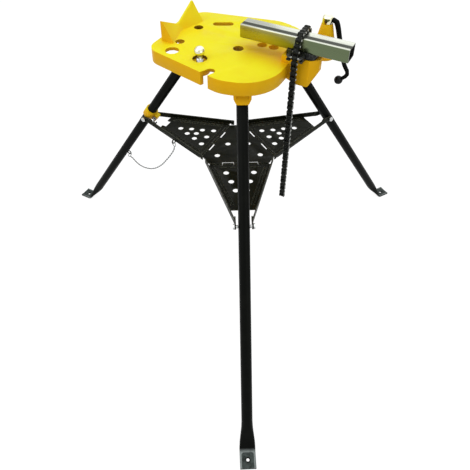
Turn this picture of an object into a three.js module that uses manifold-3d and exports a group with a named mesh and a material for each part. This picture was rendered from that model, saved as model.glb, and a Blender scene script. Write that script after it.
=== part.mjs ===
// Folding tripod stand with a chain vise. Millimetres, +Z up.
// Modelled about the table's upright axis, with +X towards the vise nose. The finished
// stand is moved so that the origin is on the floor, in the middle of its footprint.

import * as THREE from "three";
import { mergeVertices } from "three/addons/utils/BufferGeometryUtils.js";
import Module from "manifold-3d";

const wasm = await Module();
wasm.setup();

// Driving dimensions: fits
const CLEARANCE = 0.3;
const PIN_CLEARANCE = 0.4;
const OVERSHOOT = 1;
const CUT_MARGIN = 9;

// Driving dimensions: table casting
const TABLE_HEIGHT = 770;
const PLATE_THICKNESS = 8;
const RIM_DEPTH = 33;
const RIM_THICKNESS = 8;
const TABLE_REAR = 182;
const TABLE_FRONT = 136;
const REAR_HALF_WIDTH = 116;
const SIDE_HALF_WIDTH = 163;
const SIDE_CORNER_X = 32;
const FRONT_HALF_WIDTH = 140;
const REAR_CORNER_RADIUS = 38;
const SIDE_CORNER_RADIUS = 70;
const FRONT_CORNER_RADIUS = 95;
const BENDER_NOTCH_X = 72;
const BENDER_NOTCH_RADIUS = 11;
const TOOL_HOLES = [
  [-131, -53, 11.5],
  [-123, -99, 16.5],
  [-131, 33, 12],
  [6, -18, 13],
  [47, 24, 12],
  [76, 26, 12],
];
const TOOL_SLOT = { from: [-101, 71], to: [-72, 87], radius: 9.5 };
const TOOL_NOTCH = { mouth: [-16, -176], end: [0, -138], radius: 10.5 };

// Driving dimensions: pipe rest near the rear edge, a V-topped wall with a sloping front
const REST_LEDGE = 10;
const REST_HALF_WIDTH = 68;
const REST_HEIGHT = 48;
const REST_DEPTH = 34;
const REST_CREST = 5;
const REST_VALLEY_HALF = 6;
const REST_VALLEY_HEIGHT = 17;
const REST_VALLEY_DEPTH = 15;

// Driving dimensions: vise nose, jaw and work bar
const VISE_X = 155;
const NOSE_TIP = 201;
const NOSE_ROOT = 118;
const NOSE_MARGIN = 3;
const NOSE_TIP_HALF = 8;
const NOSE_DROP = 48;
const NOSE_LIP = 12;
const NOSE_KEEL = 17;
const NOSE_WALL = 7;
const NOSE_SHOULDER_RADIUS = 4;
const NOSE_TIP_RADIUS = 6;
const PAD_RISE = 16;
const JAW_START = 127;
const JAW_LENGTH = 66;
const JAW_MARGIN = 3;
const JAW_END_RADIUS = 14;
const JAW_FLOOR = 3;
const JAW_GROOVE_RISE = 0.55;
const LUG_ROOT = 6;
const LUG_REACH = 25;
const LUG_WIDTH = 8;
const LUG_CREST = 6;
const BAR_WIDTH = 40;
const BAR_HEIGHT = 32;
const BAR_WALL = 3.2;
const BAR_CORNER = 3;
const BAR_INNER_CORNER = 1;
const BAR_START = 11;
const BAR_LENGTH = 254;

// Driving dimensions: vise chain
const PITCH = 12.7;
const PLATE_HEIGHT = 12;
const INNER_HALF_WIDTH = 4.4;
const OUTER_PLATE = 1.7;
const PIN_RADIUS = 2;
const PIN_REACH = 8.2;
const LOCK_PIN_REACH = 14;
const CHAIN_OVERLAP = 0.1;
const CHAIN_ROOM = 2;
const CORNER_OFFSET = 8.1;
const NEAR_RUN_LINKS = 3;
const NEAR_RUN_LEAN = THREE.MathUtils.degToRad(22);
const FAR_RUN_LINKS = 5;
const TAIL_LINKS = [10, 10, 12];

// Driving dimensions: screw, boss and crank
const SCREW_X = 180;
const SCREW_Y = 80;
const SCREW_RADIUS = 7;
const SCREW_TAIL = 24;
const SCREW_CHAMFER = 2;
const BOSS_RISE = 62;
const BOSS_TOP_RADIUS = 12.6;
const BOSS_FOOT_RADIUS = 26.5;
const ARM_DEPTH = 20;
const ARM_WALL = 6;
const ARM_LEAD = 4;
const ARM_MARGIN = 27;
const ARM_POCKET_HALF = 19;
const ARM_POCKET_TURN = 56;
const CARRIER_HEIGHT = 10.8;
const CARRIER_RADIUS = 12;
const HUB_RADIUS = 12.4;
const HUB_HEIGHT = 17;
const HUB_SIDE = 13;
const HUB_SHOULDER = [9.9, 16];
const HUB_FLAT = 6.4;
const LEVER_HUB_RADIUS = 6.3;
const LEVER_BALL_RADIUS = 4.7;
const LEVER_BENDS = [[18.5, 8.5], [25, -3], [31.5, -25], [53, -91], [64.5, -112], [58, -124.5]];
const BALL_RADIUS = 10.5;
const BALL_OUT = 45.5;
const BALL_FALL = 134.5;

// Driving dimensions: brace screw
const BRACE_X = -48;
const BRACE_Y = -101;
const BRACE_RADIUS = 8;
const BRACE_LENGTH = 40;
const BRACE_NECK = 8;
const BRACE_NECK_RADIUS = 6;
const BRACE_CHAMFER = 2;
const BRACE_BOSS_RADIUS = 22;
const BRACE_HOLE_RADIUS = 17.5;
const BRACE_HEAD_RADIUS = 12.5;
const BRACE_HEAD_FOOT = 7.5;
const BRACE_HEAD_CENTRE = 9.4;
const BRACE_HEAD_UNDERCUT = 0.7;

// Driving dimensions: legs and their sockets
const LEG_AZIMUTHS = { front_right: -60, front_left: 57, rear: 180 };
const LEG_RADIUS = 13.5;
const LEG_SPLAY = THREE.MathUtils.degToRad(33.6);
const LEG_PIVOT_RADIUS = 130;
const LEG_PIVOT_DROP = 45;
const LEG_TOP_OVERHANG = 18;
const LEG_PIN_RADIUS = 5;
const LEG_PIN_HEAD = 8;
const LEG_PIN_HEAD_THICKNESS = 4;
const SOCKET_WALL = 5.5;
const SOCKET_REACH_IN = 38;
const SOCKET_REACH_OUT = 30;
const HOOD_START = 4;
const HOOD_LENGTH = 27;
const HOOD_TAPER = 12;
const HOOD_LAP = 8;
const FOOT_HALF_WIDTH = 19.5;
const FOOT_THICKNESS = 6.6;
const FOOT_LENGTH = 40;
const FOOT_HOLE_RADIUS = 4;
const FOOT_SINK_RADIUS = 8;
const FOOT_DISH_DEPTH = 1.6;
const FOOT_LIP = 5;
const FOOT_BEND_RADIUS = 16;
const FLATTEN_LENGTH = 70;
const FOOT_SQUARENESS = 7;
const FOOT_FLATNESS = 1.1;
const TUBE_SIDES = 20;

// Driving dimensions: folding tray
const TRAY_HEIGHT = 464;
const SHEET = 2.5;
const HINGE_RADIUS = 70;
const HINGE_GAP = 3;
const HINGE_NOTCH = 8;
const KNUCKLE_RADIUS = 3.6;
const KNUCKLE_GAP = 1;
const HINGE_PIN_RADIUS = 1.8;
const CENTRE_HALF_EDGE = 80;
const CENTRE_CORNER_RADIUS = 3;
const WING_ROOT = 60;
const WING_HALF_EDGE = 91;
const WING_TIP_RADIUS = 240;
const FLANGE_HEIGHT = 12;
const ARM_END_RADIUS = 7;
const ARM_THICKNESS = 3;
const ARM_START = 284;
const ARM_LAP = 8;
const ARM_GAP = 5;
const LUG_NOTCH_HALF = 13;
const LUG_NOTCH_DEPTH = 12;
const TRAY_HOLE_RADIUS = 7.5;
const CENTRE_KNUCKLES = [[-78, -46], [-14, 18], [50, 78]];
const WING_KNUCKLES = [[-44, -16], [20, 48]];
const CENTRE_HOLES = [[32, 60], [32, 180], [67, 0], [67, -120]];
const WING_HOLES_SIX = [[105, 36], [139, 24], [172, 14]];
const WING_HOLES_NINE = [[97, 34], [127, 22], [157, 12], [100, 0], [134, 0], [186, 0]];
const BOLT_RADIUS = 4;
const BOLT_HEAD_RADIUS = 7;
const BOLT_HEAD_THICKNESS = 4;

// Driving dimensions: collar, eye and retaining chain on the rear leg
const COLLAR_ABOVE_BOLTS = 35.1514;
const COLLAR_LENGTH = 27;
const COLLAR_WALL = 4;
const COLLAR_LUG = 10;
const COLLAR_LUG_HALF = 8;
const COLLAR_LUG_INSET = 3;
const COLLAR_BOLT_RADIUS = 3;
const COLLAR_BOLT_HEAD = 5.5;
const COLLAR_BOLT_HEAD_THICKNESS = 3;
const COLLAR_HOOK_WIRE = 2;
const COLLAR_HOOK_BENDS = [[0, 0], [0, -9], [-4, -15], [-9, -12], [-9, -6]];
const EYE_FROM_PIVOT = 505;
const EYE_RADIUS = 6;
const EYE_WIRE = 1.6;
const RING_RADIUS = 7;
const RING_WIRE = 1.2;
const RING_ON_WING = 168;
const RETAINER_RADIUS = 1.5;
const RETAINER_ROUTE = [
  [-169.4, -62, 445.3],
  [-170.6, -62, 436],
  [-176.5, -61.5, 424],
  [-186, -60.5, 408],
  [-197, -59, 391],
  [-209, -57, 374],
  [-221, -54.5, 357],
  [-234, -51.5, 341.5],
  [-248, -48.5, 327],
  [-263, -45.5, 314],
  [-280, -42, 303],
  [-299, -37.5, 294],
  [-318, -32.5, 287.5],
  [-337, -26, 283.5],
  [-355, -18, 280.7],
  [-371, -9.5, 278.9],
  [-383, -3.2, 278],
  [-392.5, 0, 277.6],
];

// Derived levels
const PLATE_BOTTOM = TABLE_HEIGHT - PLATE_THICKNESS;
const RIM_BOTTOM = TABLE_HEIGHT - RIM_DEPTH;
const PAD_TOP = TABLE_HEIGHT + PAD_RISE;
const JAW_HALF_WIDTH = BAR_WIDTH / 2 + JAW_MARGIN;
const NOSE_HALF_WIDTH = JAW_HALF_WIDTH + NOSE_MARGIN;
const PIVOT_Z = TABLE_HEIGHT - LEG_PIVOT_DROP;
const CHAIN_HALF = PIN_REACH + CHAIN_ROOM;
const HINGE_Z = TRAY_HEIGHT - SHEET / 2;
const ARM_Z = TRAY_HEIGHT + FLANGE_HEIGHT / 2;
const ARM_CENTRE = LEG_PIVOT_RADIUS + (PIVOT_Z - ARM_Z) * Math.tan(LEG_SPLAY);
const COLLAR_FROM_PIVOT = (PIVOT_Z - ARM_Z) / Math.cos(LEG_SPLAY) - COLLAR_ABOVE_BOLTS;
const ARM_INSIDE = LEG_RADIUS + ARM_GAP;
const WING_TIP_HALF = ARM_INSIDE + ARM_THICKNESS;
const WING_EDGE_TURN = Math.atan2(WING_HALF_EDGE - WING_TIP_HALF, ARM_START - WING_ROOT);

// Materials by finish
const FINISHES = {
  yellow: { color: 0xf2b705, roughness: 0.45, metalness: 0.1 },
  black: { color: 0x14161a, roughness: 0.35, metalness: 0.2 },
  iron: { color: 0x24252a, roughness: 0.5, metalness: 0.6 },
  steel: { color: 0xb9bcc0, roughness: 0.3, metalness: 0.9 },
  chrome: { color: 0xe4e6e8, roughness: 0.08, metalness: 1.0 },
};

const stand = new THREE.Group();

function addMesh(name, geometry, finish, parent = stand) {
  const mesh = new THREE.Mesh(geometry, new THREE.MeshStandardMaterial(FINISHES[finish]));
  mesh.name = name;
  parent.add(mesh);
  return mesh;
}

// Solids: joining and cutting closed meshes
function solid(geometry) {
  const bare = geometry.index ? geometry.toNonIndexed() : geometry.clone();
  const positions = new THREE.BufferGeometry();
  positions.setAttribute("position", bare.getAttribute("position"));
  const merged = mergeVertices(positions, 1e-4);
  const corners = merged.index.array;
  const kept = [];
  for (let i = 0; i < corners.length; i += 3) {
    const [a, b, c] = corners.slice(i, i + 3);
    if (a !== b && b !== c && c !== a) kept.push(a, b, c);
  }
  const mesh = new wasm.Mesh({
    numProp: 3,
    vertProperties: merged.attributes.position.array,
    triVerts: new Uint32Array(kept),
  });
  return new wasm.Manifold(mesh);
}

function geometryOf(body) {
  const mesh = body.getMesh();
  const geometry = new THREE.BufferGeometry();
  geometry.setAttribute("position", new THREE.BufferAttribute(mesh.vertProperties, 3));
  geometry.setIndex(new THREE.BufferAttribute(mesh.triVerts, 1));
  return geometry;
}

function carve(kept, removed = []) {
  const whole = kept.map(solid).reduce((sum, next) => sum.add(next));
  return geometryOf(removed.map(solid).reduce((sum, next) => sum.subtract(next), whole));
}

function common(first, second) {
  return geometryOf(solid(first).intersect(solid(second)));
}

// Shapes: outlines with rounded corners, given as [x, y, radius]
function roundedShape(outline) {
  const firstRound = Math.max(0, outline.findIndex(([, , radius = 0]) => radius > 0));
  const corners = [...outline.slice(firstRound), ...outline.slice(0, firstRound)];
  const shape = new THREE.Shape();
  const points = corners.map(([x, y]) => new THREE.Vector2(x, y));
  corners.forEach(([, , radius = 0], i) => {
    const corner = points[i];
    if (radius === 0) {
      if (i === 0) shape.moveTo(corner.x, corner.y);
      else shape.lineTo(corner.x, corner.y);
      return;
    }
    const before = points.at(i - 1).clone().sub(corner).normalize();
    const after = points[(i + 1) % points.length].clone().sub(corner).normalize();
    const half = Math.acos(before.dot(after)) / 2;
    const reach = radius / Math.tan(half);
    const inward = before.clone().add(after).normalize();
    const centre = corner.clone().addScaledVector(inward, radius / Math.sin(half));
    const start = corner.clone().addScaledVector(before, reach).sub(centre);
    const end = corner.clone().addScaledVector(after, reach).sub(centre);
    const clockwise = before.cross(after) > 0;
    shape.absarc(centre.x, centre.y, radius, start.angle(), end.angle(), clockwise);
  });
  return shape;
}

function circle(x, y, radius) {
  return new THREE.Shape().absarc(x, y, radius, 0, 2 * Math.PI, false);
}

function slot(from, to, radius) {
  const along = Math.atan2(to[1] - from[1], to[0] - from[0]);
  const shape = new THREE.Shape();
  shape.absarc(to[0], to[1], radius, along - Math.PI / 2, along + Math.PI / 2, false);
  shape.absarc(from[0], from[1], radius, along + Math.PI / 2, along + 1.5 * Math.PI, false);
  return shape;
}

// Prisms of a shape lying in one of the three planes
function prismXY(shape, low, high, curveSegments = 6) {
  const geometry = new THREE.ExtrudeGeometry(shape, {
    depth: high - low,
    bevelEnabled: false,
    curveSegments,
  });
  return geometry.translate(0, 0, low);
}

function prismXZ(shape, low, high, curveSegments = 6) {
  return prismXY(shape, -high, -low, curveSegments).rotateX(Math.PI / 2);
}

function prismYZ(shape, low, high, curveSegments = 6) {
  const axes = new THREE.Matrix4().makeBasis(
    new THREE.Vector3(0, 1, 0),
    new THREE.Vector3(0, 0, 1),
    new THREE.Vector3(1, 0, 0),
  );
  return prismXY(shape, low, high, curveSegments).applyMatrix4(axes);
}

function box(low, high) {
  const size = high.map((value, i) => value - low[i]);
  const middle = high.map((value, i) => (value + low[i]) / 2);
  return new THREE.BoxGeometry(...size).translate(...middle);
}

function rod(from, to, radius, sides = 16, endRadius = radius) {
  const start = new THREE.Vector3(...from);
  const end = new THREE.Vector3(...to);
  const axis = end.clone().sub(start);
  const geometry = new THREE.CylinderGeometry(endRadius, radius, axis.length(), sides);
  const turn = new THREE.Quaternion().setFromUnitVectors(
    new THREE.Vector3(0, 1, 0),
    axis.clone().normalize(),
  );
  const middle = start.add(end).multiplyScalar(0.5);
  return geometry.applyQuaternion(turn).translate(...middle);
}

// A solid spun about a vertical axis, from [radius, height] points that start and end on the axis
function spun(points, sides) {
  const profile = points.map(([radius, height]) => new THREE.Vector2(radius, height));
  return new THREE.LatheGeometry(profile, sides).rotateX(Math.PI / 2);
}

// A closed skin over rings of points, each ring with the same number of points
function loft(rings) {
  const sides = rings[0].length;
  const positions = rings.flat().flatMap((point) => point.toArray());
  const index = [];
  for (let r = 0; r + 1 < rings.length; r += 1) {
    for (let i = 0; i < sides; i += 1) {
      const next = (i + 1) % sides;
      const a = r * sides + i;
      const b = r * sides + next;
      index.push(a, b, a + sides, b, b + sides, a + sides);
    }
  }
  const last = (rings.length - 1) * sides;
  for (let i = 1; i + 1 < sides; i += 1) {
    index.push(0, i + 1, i);
    index.push(last, last + i, last + i + 1);
  }
  const geometry = new THREE.BufferGeometry();
  geometry.setAttribute("position", new THREE.Float32BufferAttribute(positions, 3));
  geometry.setIndex(index);
  return geometry;
}

function tubeAlong(points, radius, steps, sides) {
  const path = new THREE.CatmullRomCurve3(points.map((point) => new THREE.Vector3(...point)));
  const section = new THREE.Shape();
  for (let i = 0; i < sides; i += 1) {
    const angle = (2 * Math.PI * i) / sides;
    const x = radius * Math.cos(angle);
    const y = radius * Math.sin(angle);
    if (i === 0) section.moveTo(x, y);
    else section.lineTo(x, y);
  }
  return new THREE.ExtrudeGeometry(section, { steps, extrudePath: path, bevelEnabled: false });
}

// A round bar along a path in an upright X-Z plane, with its radius changing evenly
function taperedTube(path, startRadius, endRadius, steps, sides) {
  const rings = [];
  for (let k = 0; k <= steps; k += 1) {
    const centre = path.getPointAt(k / steps);
    const along = path.getTangentAt(k / steps);
    const across = new THREE.Vector3(-along.z, 0, along.x);
    const radius = THREE.MathUtils.lerp(startRadius, endRadius, k / steps);
    const ring = [];
    for (let i = 0; i < sides; i += 1) {
      const angle = (2 * Math.PI * i) / sides;
      const point = centre.clone().addScaledVector(across, radius * Math.sin(angle));
      ring.push(point.add(new THREE.Vector3(0, radius * Math.cos(angle), 0)));
    }
    rings.push(ring);
  }
  return loft(rings);
}

function azimuthOf(leg) {
  return THREE.MathUtils.degToRad(LEG_AZIMUTHS[leg]);
}

// Leg line in its own upright plane: distance down the leg from the pivot, and out from its axis
function onLeg(down, out = 0, side = 0) {
  const x = LEG_PIVOT_RADIUS + down * Math.sin(LEG_SPLAY) + out * Math.cos(LEG_SPLAY);
  const z = PIVOT_Z - down * Math.cos(LEG_SPLAY) + out * Math.sin(LEG_SPLAY);
  return new THREE.Vector3(x, side, z);
}

// Table outline, drawn in by an inset
function tableOutline(inset) {
  const half = [
    [-TABLE_REAR + inset, -REAR_HALF_WIDTH + inset, REAR_CORNER_RADIUS - inset],
    [SIDE_CORNER_X, -SIDE_HALF_WIDTH + inset, SIDE_CORNER_RADIUS - inset],
    [TABLE_FRONT - inset, -FRONT_HALF_WIDTH + inset, FRONT_CORNER_RADIUS - inset],
  ];
  const mirrored = half.map(([x, y, radius]) => [x, -y, radius]).reverse();
  return roundedShape([...half, ...mirrored]);
}

// Leg socket under the table: two cheeks and a hood that stops the leg
function legSocket() {
  const inner = LEG_RADIUS + 2 * CLEARANCE;
  const outer = inner + SOCKET_WALL;
  const hoodIn = LEG_RADIUS + 2 * CLEARANCE;
  const hoodOut = hoodIn + SOCKET_WALL;
  const corners = [
    onLeg(HOOD_LENGTH - HOOD_LAP, hoodOut),
    onLeg(HOOD_LENGTH - HOOD_LAP, hoodIn),
    onLeg(LEG_PIN_HEAD + SOCKET_WALL / 2, -LEG_PIN_HEAD - SOCKET_WALL / 2),
    onLeg(-LEG_PIN_HEAD, -2 * LEG_PIN_HEAD),
  ];
  const cheek = roundedShape([
    ...corners.map((point) => [point.x, point.z]).reverse(),
    [LEG_PIVOT_RADIUS + SOCKET_REACH_OUT, PLATE_BOTTOM + OVERSHOOT],
    [LEG_PIVOT_RADIUS - SOCKET_REACH_IN, PLATE_BOTTOM + OVERSHOOT],
  ].reverse());
  const cheeks = [-outer, inner].map((low) => prismXZ(cheek, low, low + SOCKET_WALL));
  const hood = roundedShape([
    [-outer, 0],
    [outer, 0],
    [outer, HOOD_LENGTH - HOOD_TAPER],
    [LEG_RADIUS, HOOD_LENGTH, SOCKET_WALL],
    [-LEG_RADIUS, HOOD_LENGTH, SOCKET_WALL],
    [-outer, HOOD_LENGTH - HOOD_TAPER],
  ]);
  const frame = new THREE.Matrix4().makeBasis(
    new THREE.Vector3(0, 1, 0),
    new THREE.Vector3(Math.sin(LEG_SPLAY), 0, -Math.cos(LEG_SPLAY)),
    new THREE.Vector3(-Math.cos(LEG_SPLAY), 0, -Math.sin(LEG_SPLAY)),
  );
  frame.setPosition(onLeg(HOOD_START, hoodOut));
  const hoodSolid = prismXY(hood, 0, SOCKET_WALL, 3).applyMatrix4(frame);
  return [...cheeks, hoodSolid];
}

function pinBore(halfLength, radius) {
  const pivot = onLeg(0);
  return rod([pivot.x, -halfLength, pivot.z], [pivot.x, halfLength, pivot.z], radius);
}

// Round tool holes through the table, the hole of the brace screw, and one slot
function tableHoles() {
  const round = [...TOOL_HOLES, [BRACE_X, BRACE_Y, BRACE_HOLE_RADIUS]];
  return [...round.map((hole) => circle(...hole)), slot(TOOL_SLOT.from, TOOL_SLOT.to, TOOL_SLOT.radius)];
}

function pipeRest() {
  const rear = -TABLE_REAR + REST_LEDGE;
  const low = TABLE_HEIGHT - OVERSHOOT;
  const stations = [
    [-REST_HALF_WIDTH, REST_HEIGHT, REST_DEPTH],
    [-REST_VALLEY_HALF, REST_VALLEY_HEIGHT, REST_VALLEY_DEPTH],
    [REST_VALLEY_HALF, REST_VALLEY_HEIGHT, REST_VALLEY_DEPTH],
    [REST_HALF_WIDTH, REST_HEIGHT, REST_DEPTH],
  ];
  return loft(stations.map(([y, height, depth]) => [
    new THREE.Vector3(rear, y, low),
    new THREE.Vector3(rear, y, TABLE_HEIGHT + height),
    new THREE.Vector3(rear + REST_CREST, y, TABLE_HEIGHT + height),
    new THREE.Vector3(rear + depth, y, low),
  ]));
}

// Vise nose: blunt prow in plan, swept up underneath, hollow below
function noseProfile(inset) {
  const halfWidth = NOSE_HALF_WIDTH - inset;
  const tip = NOSE_TIP - inset;
  return roundedShape([
    [NOSE_ROOT, -halfWidth],
    [tip - halfWidth + NOSE_TIP_HALF, -halfWidth, NOSE_SHOULDER_RADIUS],
    [tip, -NOSE_TIP_HALF, NOSE_TIP_RADIUS],
    [tip, NOSE_TIP_HALF, NOSE_TIP_RADIUS],
    [tip - halfWidth + NOSE_TIP_HALF, halfWidth, NOSE_SHOULDER_RADIUS],
    [NOSE_ROOT, halfWidth],
  ]);
}

function noseSolid() {
  const bottom = TABLE_HEIGHT - NOSE_DROP;
  const side = roundedShape([
    [NOSE_ROOT, RIM_BOTTOM],
    [VISE_X, bottom, NOSE_WALL],
    [NOSE_TIP - NOSE_KEEL, bottom, NOSE_WALL],
    [NOSE_TIP + OVERSHOOT, TABLE_HEIGHT - NOSE_LIP, NOSE_WALL],
    [NOSE_TIP + OVERSHOOT, PAD_TOP + OVERSHOOT],
    [NOSE_ROOT, PAD_TOP + OVERSHOOT],
  ]);
  const plan = prismXY(noseProfile(0), bottom - OVERSHOOT, PAD_TOP, 3);
  return common(plan, prismXZ(side, -2 * NOSE_HALF_WIDTH, 2 * NOSE_HALF_WIDTH, 3));
}

// Screw arm beside the nose, with the tapered boss of the screw on its far end
function screwArm() {
  const near = NOSE_HALF_WIDTH - NOSE_WALL;
  const plan = roundedShape([
    [NOSE_ROOT, near],
    [SCREW_X + ARM_LEAD, near],
    [SCREW_X + ARM_LEAD, SCREW_Y],
    [SCREW_X, SCREW_Y + ARM_MARGIN],
    [NOSE_ROOT, SCREW_Y + ARM_MARGIN],
  ]);
  const low = TABLE_HEIGHT - ARM_DEPTH;
  const foot = rod([SCREW_X, SCREW_Y, low], [SCREW_X, SCREW_Y, TABLE_HEIGHT], ARM_MARGIN, 24);
  const boss = rod(
    [SCREW_X, SCREW_Y, TABLE_HEIGHT - OVERSHOOT],
    [SCREW_X, SCREW_Y, TABLE_HEIGHT + BOSS_RISE],
    BOSS_FOOT_RADIUS,
    24,
    BOSS_TOP_RADIUS,
  );
  return [prismXY(plan, low, TABLE_HEIGHT), foot, boss];
}

// Hollow under the screw arm, open to the nose, where the chain's carrier runs
function armPocket() {
  const left = NOSE_ROOT + ARM_WALL + OVERSHOOT;
  const right = SCREW_X + ARM_LEAD - ARM_WALL;
  const half = ARM_POCKET_HALF;
  const plan = roundedShape([
    [left, 0],
    [right, 0],
    [right, ARM_POCKET_TURN],
    [SCREW_X + half, SCREW_Y - CARRIER_RADIUS],
    [SCREW_X + half, SCREW_Y + half, CARRIER_RADIUS],
    [left, SCREW_Y + half],
  ]);
  return prismXY(plan, TABLE_HEIGHT - ARM_DEPTH - CUT_MARGIN, PLATE_BOTTOM, 4);
}

// The bar's rounded lower edges rest on the flanks of the jaw's groove
const GROOVE_BOTTOM = PAD_TOP + CLEARANCE + JAW_FLOOR;
const FLANK = Math.atan(JAW_GROOVE_RISE);
const EDGE_RUN = (BAR_WIDTH / 2 - BAR_CORNER) * Math.sin(FLANK);
const EDGE_RISE = (BAR_CORNER + CLEARANCE + EDGE_RUN) / Math.cos(FLANK);
const BAR_BOTTOM = GROOVE_BOTTOM + EDGE_RISE - BAR_CORNER;
const BAR_TOP = BAR_BOTTOM + BAR_HEIGHT;

// Pins of the vise chain wrapped over the bar, in the Y-Z plane, from the near lock to the far end
function wrapPins() {
  const topZ = BAR_TOP + CORNER_OFFSET;
  const edge = BAR_WIDTH / 2;
  const beforeCorner = [1.5 * PITCH, topZ];
  const fromEdge = new THREE.Vector2(beforeCorner[0] - edge, CORNER_OFFSET);
  const reach = fromEdge.length();
  const cosine = (reach ** 2 + CORNER_OFFSET ** 2 - PITCH ** 2) / (2 * reach * CORNER_OFFSET);
  const turned = fromEdge.angle() - Math.acos(cosine);
  const corner = [
    edge + CORNER_OFFSET * Math.cos(turned),
    BAR_TOP + CORNER_OFFSET * Math.sin(turned),
  ];
  const near = [];
  for (let i = NEAR_RUN_LINKS; i >= 1; i -= 1) {
    const run = i * PITCH;
    near.push([-corner[0] - run * Math.sin(NEAR_RUN_LEAN), corner[1] - run * Math.cos(NEAR_RUN_LEAN)]);
  }
  const over = [
    [-corner[0], corner[1]],
    [-beforeCorner[0], topZ],
    [-PITCH / 2, topZ],
    [PITCH / 2, topZ],
    beforeCorner,
    corner,
  ];
  const far = [];
  for (let i = 1; i <= FAR_RUN_LINKS; i += 1) {
    far.push([corner[0], corner[1] - i * PITCH]);
  }
  return [...near, ...over, ...far];
}

const WRAP_PINS = wrapPins();
const LOCK_PIN = WRAP_PINS[0];
const ANCHOR_PIN = WRAP_PINS.at(-1);

function tableShell() {
  const plate = tableOutline(0);
  plate.holes.push(...tableHoles());
  const pocket = prismXY(tableOutline(RIM_THICKNESS), RIM_BOTTOM - OVERSHOOT, PLATE_BOTTOM, 5);
  return carve([prismXY(plate, RIM_BOTTOM, TABLE_HEIGHT, 5)], [pocket]);
}

function tableTop() {
  const below = RIM_BOTTOM - CUT_MARGIN;
  const above = PAD_TOP + CUT_MARGIN;
  const kept = [
    tableShell(),
    pipeRest(),
    noseSolid(),
    ...screwArm(),
    rod(
      [BRACE_X, BRACE_Y, RIM_BOTTOM],
      [BRACE_X, BRACE_Y, PLATE_BOTTOM + OVERSHOOT],
      BRACE_BOSS_RADIUS,
      20,
    ),
  ];
  const removed = [
    prismXY(slot(TOOL_NOTCH.mouth, TOOL_NOTCH.end, TOOL_NOTCH.radius), below, above),
    prismXY(circle(BENDER_NOTCH_X, SIDE_HALF_WIDTH, BENDER_NOTCH_RADIUS), below, above),
    prismXY(noseProfile(NOSE_WALL), RIM_BOTTOM - NOSE_DROP, PLATE_BOTTOM, 3),
    armPocket(),
    rod(
      [SCREW_X, SCREW_Y, RIM_BOTTOM],
      [SCREW_X, SCREW_Y, PAD_TOP + BOSS_RISE],
      SCREW_RADIUS + PIN_CLEARANCE,
      20,
    ),
    rod(
      [BRACE_X, BRACE_Y, below],
      [BRACE_X, BRACE_Y, TABLE_HEIGHT],
      BRACE_RADIUS + PIN_CLEARANCE,
      20,
    ),
    box(
      [VISE_X - CHAIN_HALF, ANCHOR_PIN[0] - PLATE_HEIGHT / 2 - CHAIN_ROOM, RIM_BOTTOM - NOSE_DROP],
      [VISE_X + CHAIN_HALF, ANCHOR_PIN[0] + PLATE_HEIGHT / 2 + CHAIN_ROOM, above],
    ),
  ];
  for (const leg of Object.keys(LEG_AZIMUTHS)) {
    const turn = azimuthOf(leg);
    kept.push(...legSocket().map((piece) => piece.rotateZ(turn)));
    const boreLength = LEG_RADIUS + 2 * SOCKET_WALL;
    removed.push(pinBore(boreLength, LEG_PIN_RADIUS + CLEARANCE).rotateZ(turn));
  }
  return carve(kept, removed);
}

addMesh("table_top", tableTop(), "yellow");

// Jaw: grooved block with a rounded front end and two near lugs that trap the chain's lock pin
function viseJaw() {
  const low = PAD_TOP + CLEARANCE;
  const lip = GROOVE_BOTTOM + JAW_GROOVE_RISE * JAW_HALF_WIDTH;
  const end = JAW_START + JAW_LENGTH;
  const section = roundedShape([
    [-JAW_HALF_WIDTH, low],
    [JAW_HALF_WIDTH, low],
    [JAW_HALF_WIDTH, lip],
    [0, GROOVE_BOTTOM],
    [-JAW_HALF_WIDTH, lip],
  ]);
  const plan = roundedShape([
    [JAW_START, -JAW_HALF_WIDTH],
    [end, -JAW_HALF_WIDTH, JAW_END_RADIUS],
    [end, JAW_HALF_WIDTH, JAW_END_RADIUS],
    [JAW_START, JAW_HALF_WIDTH],
  ]);
  const body = common(prismYZ(section, JAW_START, end), prismXY(plan, low - OVERSHOOT, lip + OVERSHOOT));
  const lugTop = LOCK_PIN[1] + LUG_CREST;
  const lugEnd = -JAW_HALF_WIDTH - LUG_REACH;
  const lug = roundedShape([
    [-JAW_HALF_WIDTH, low],
    [-JAW_HALF_WIDTH + LUG_ROOT, low],
    [-JAW_HALF_WIDTH + LUG_ROOT, GROOVE_BOTTOM],
    [-JAW_HALF_WIDTH, lugTop, LUG_CREST],
    [lugEnd, lugTop, LUG_CREST],
    [lugEnd, low, LUG_CREST],
  ].reverse());
  const kept = [body];
  for (const from of [VISE_X - CHAIN_HALF - LUG_WIDTH, VISE_X + CHAIN_HALF]) {
    kept.push(prismYZ(lug, from, from + LUG_WIDTH, 3));
  }
  const seat = slot(
    [LOCK_PIN[0] - LUG_REACH, LOCK_PIN[1]],
    [LOCK_PIN[0], LOCK_PIN[1]],
    PIN_RADIUS + PIN_CLEARANCE,
  );
  const removed = [
    prismYZ(seat, VISE_X - 2 * CHAIN_HALF, VISE_X + 2 * CHAIN_HALF, 3),
    box(
      [VISE_X - CHAIN_HALF, ANCHOR_PIN[0] - PLATE_HEIGHT / 2 - CHAIN_ROOM, low - CUT_MARGIN],
      [VISE_X + CHAIN_HALF, JAW_HALF_WIDTH + CUT_MARGIN, lip + CUT_MARGIN],
    ),
  ];
  return carve(kept, removed);
}

addMesh("vise_jaw", viseJaw(), "iron");

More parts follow.
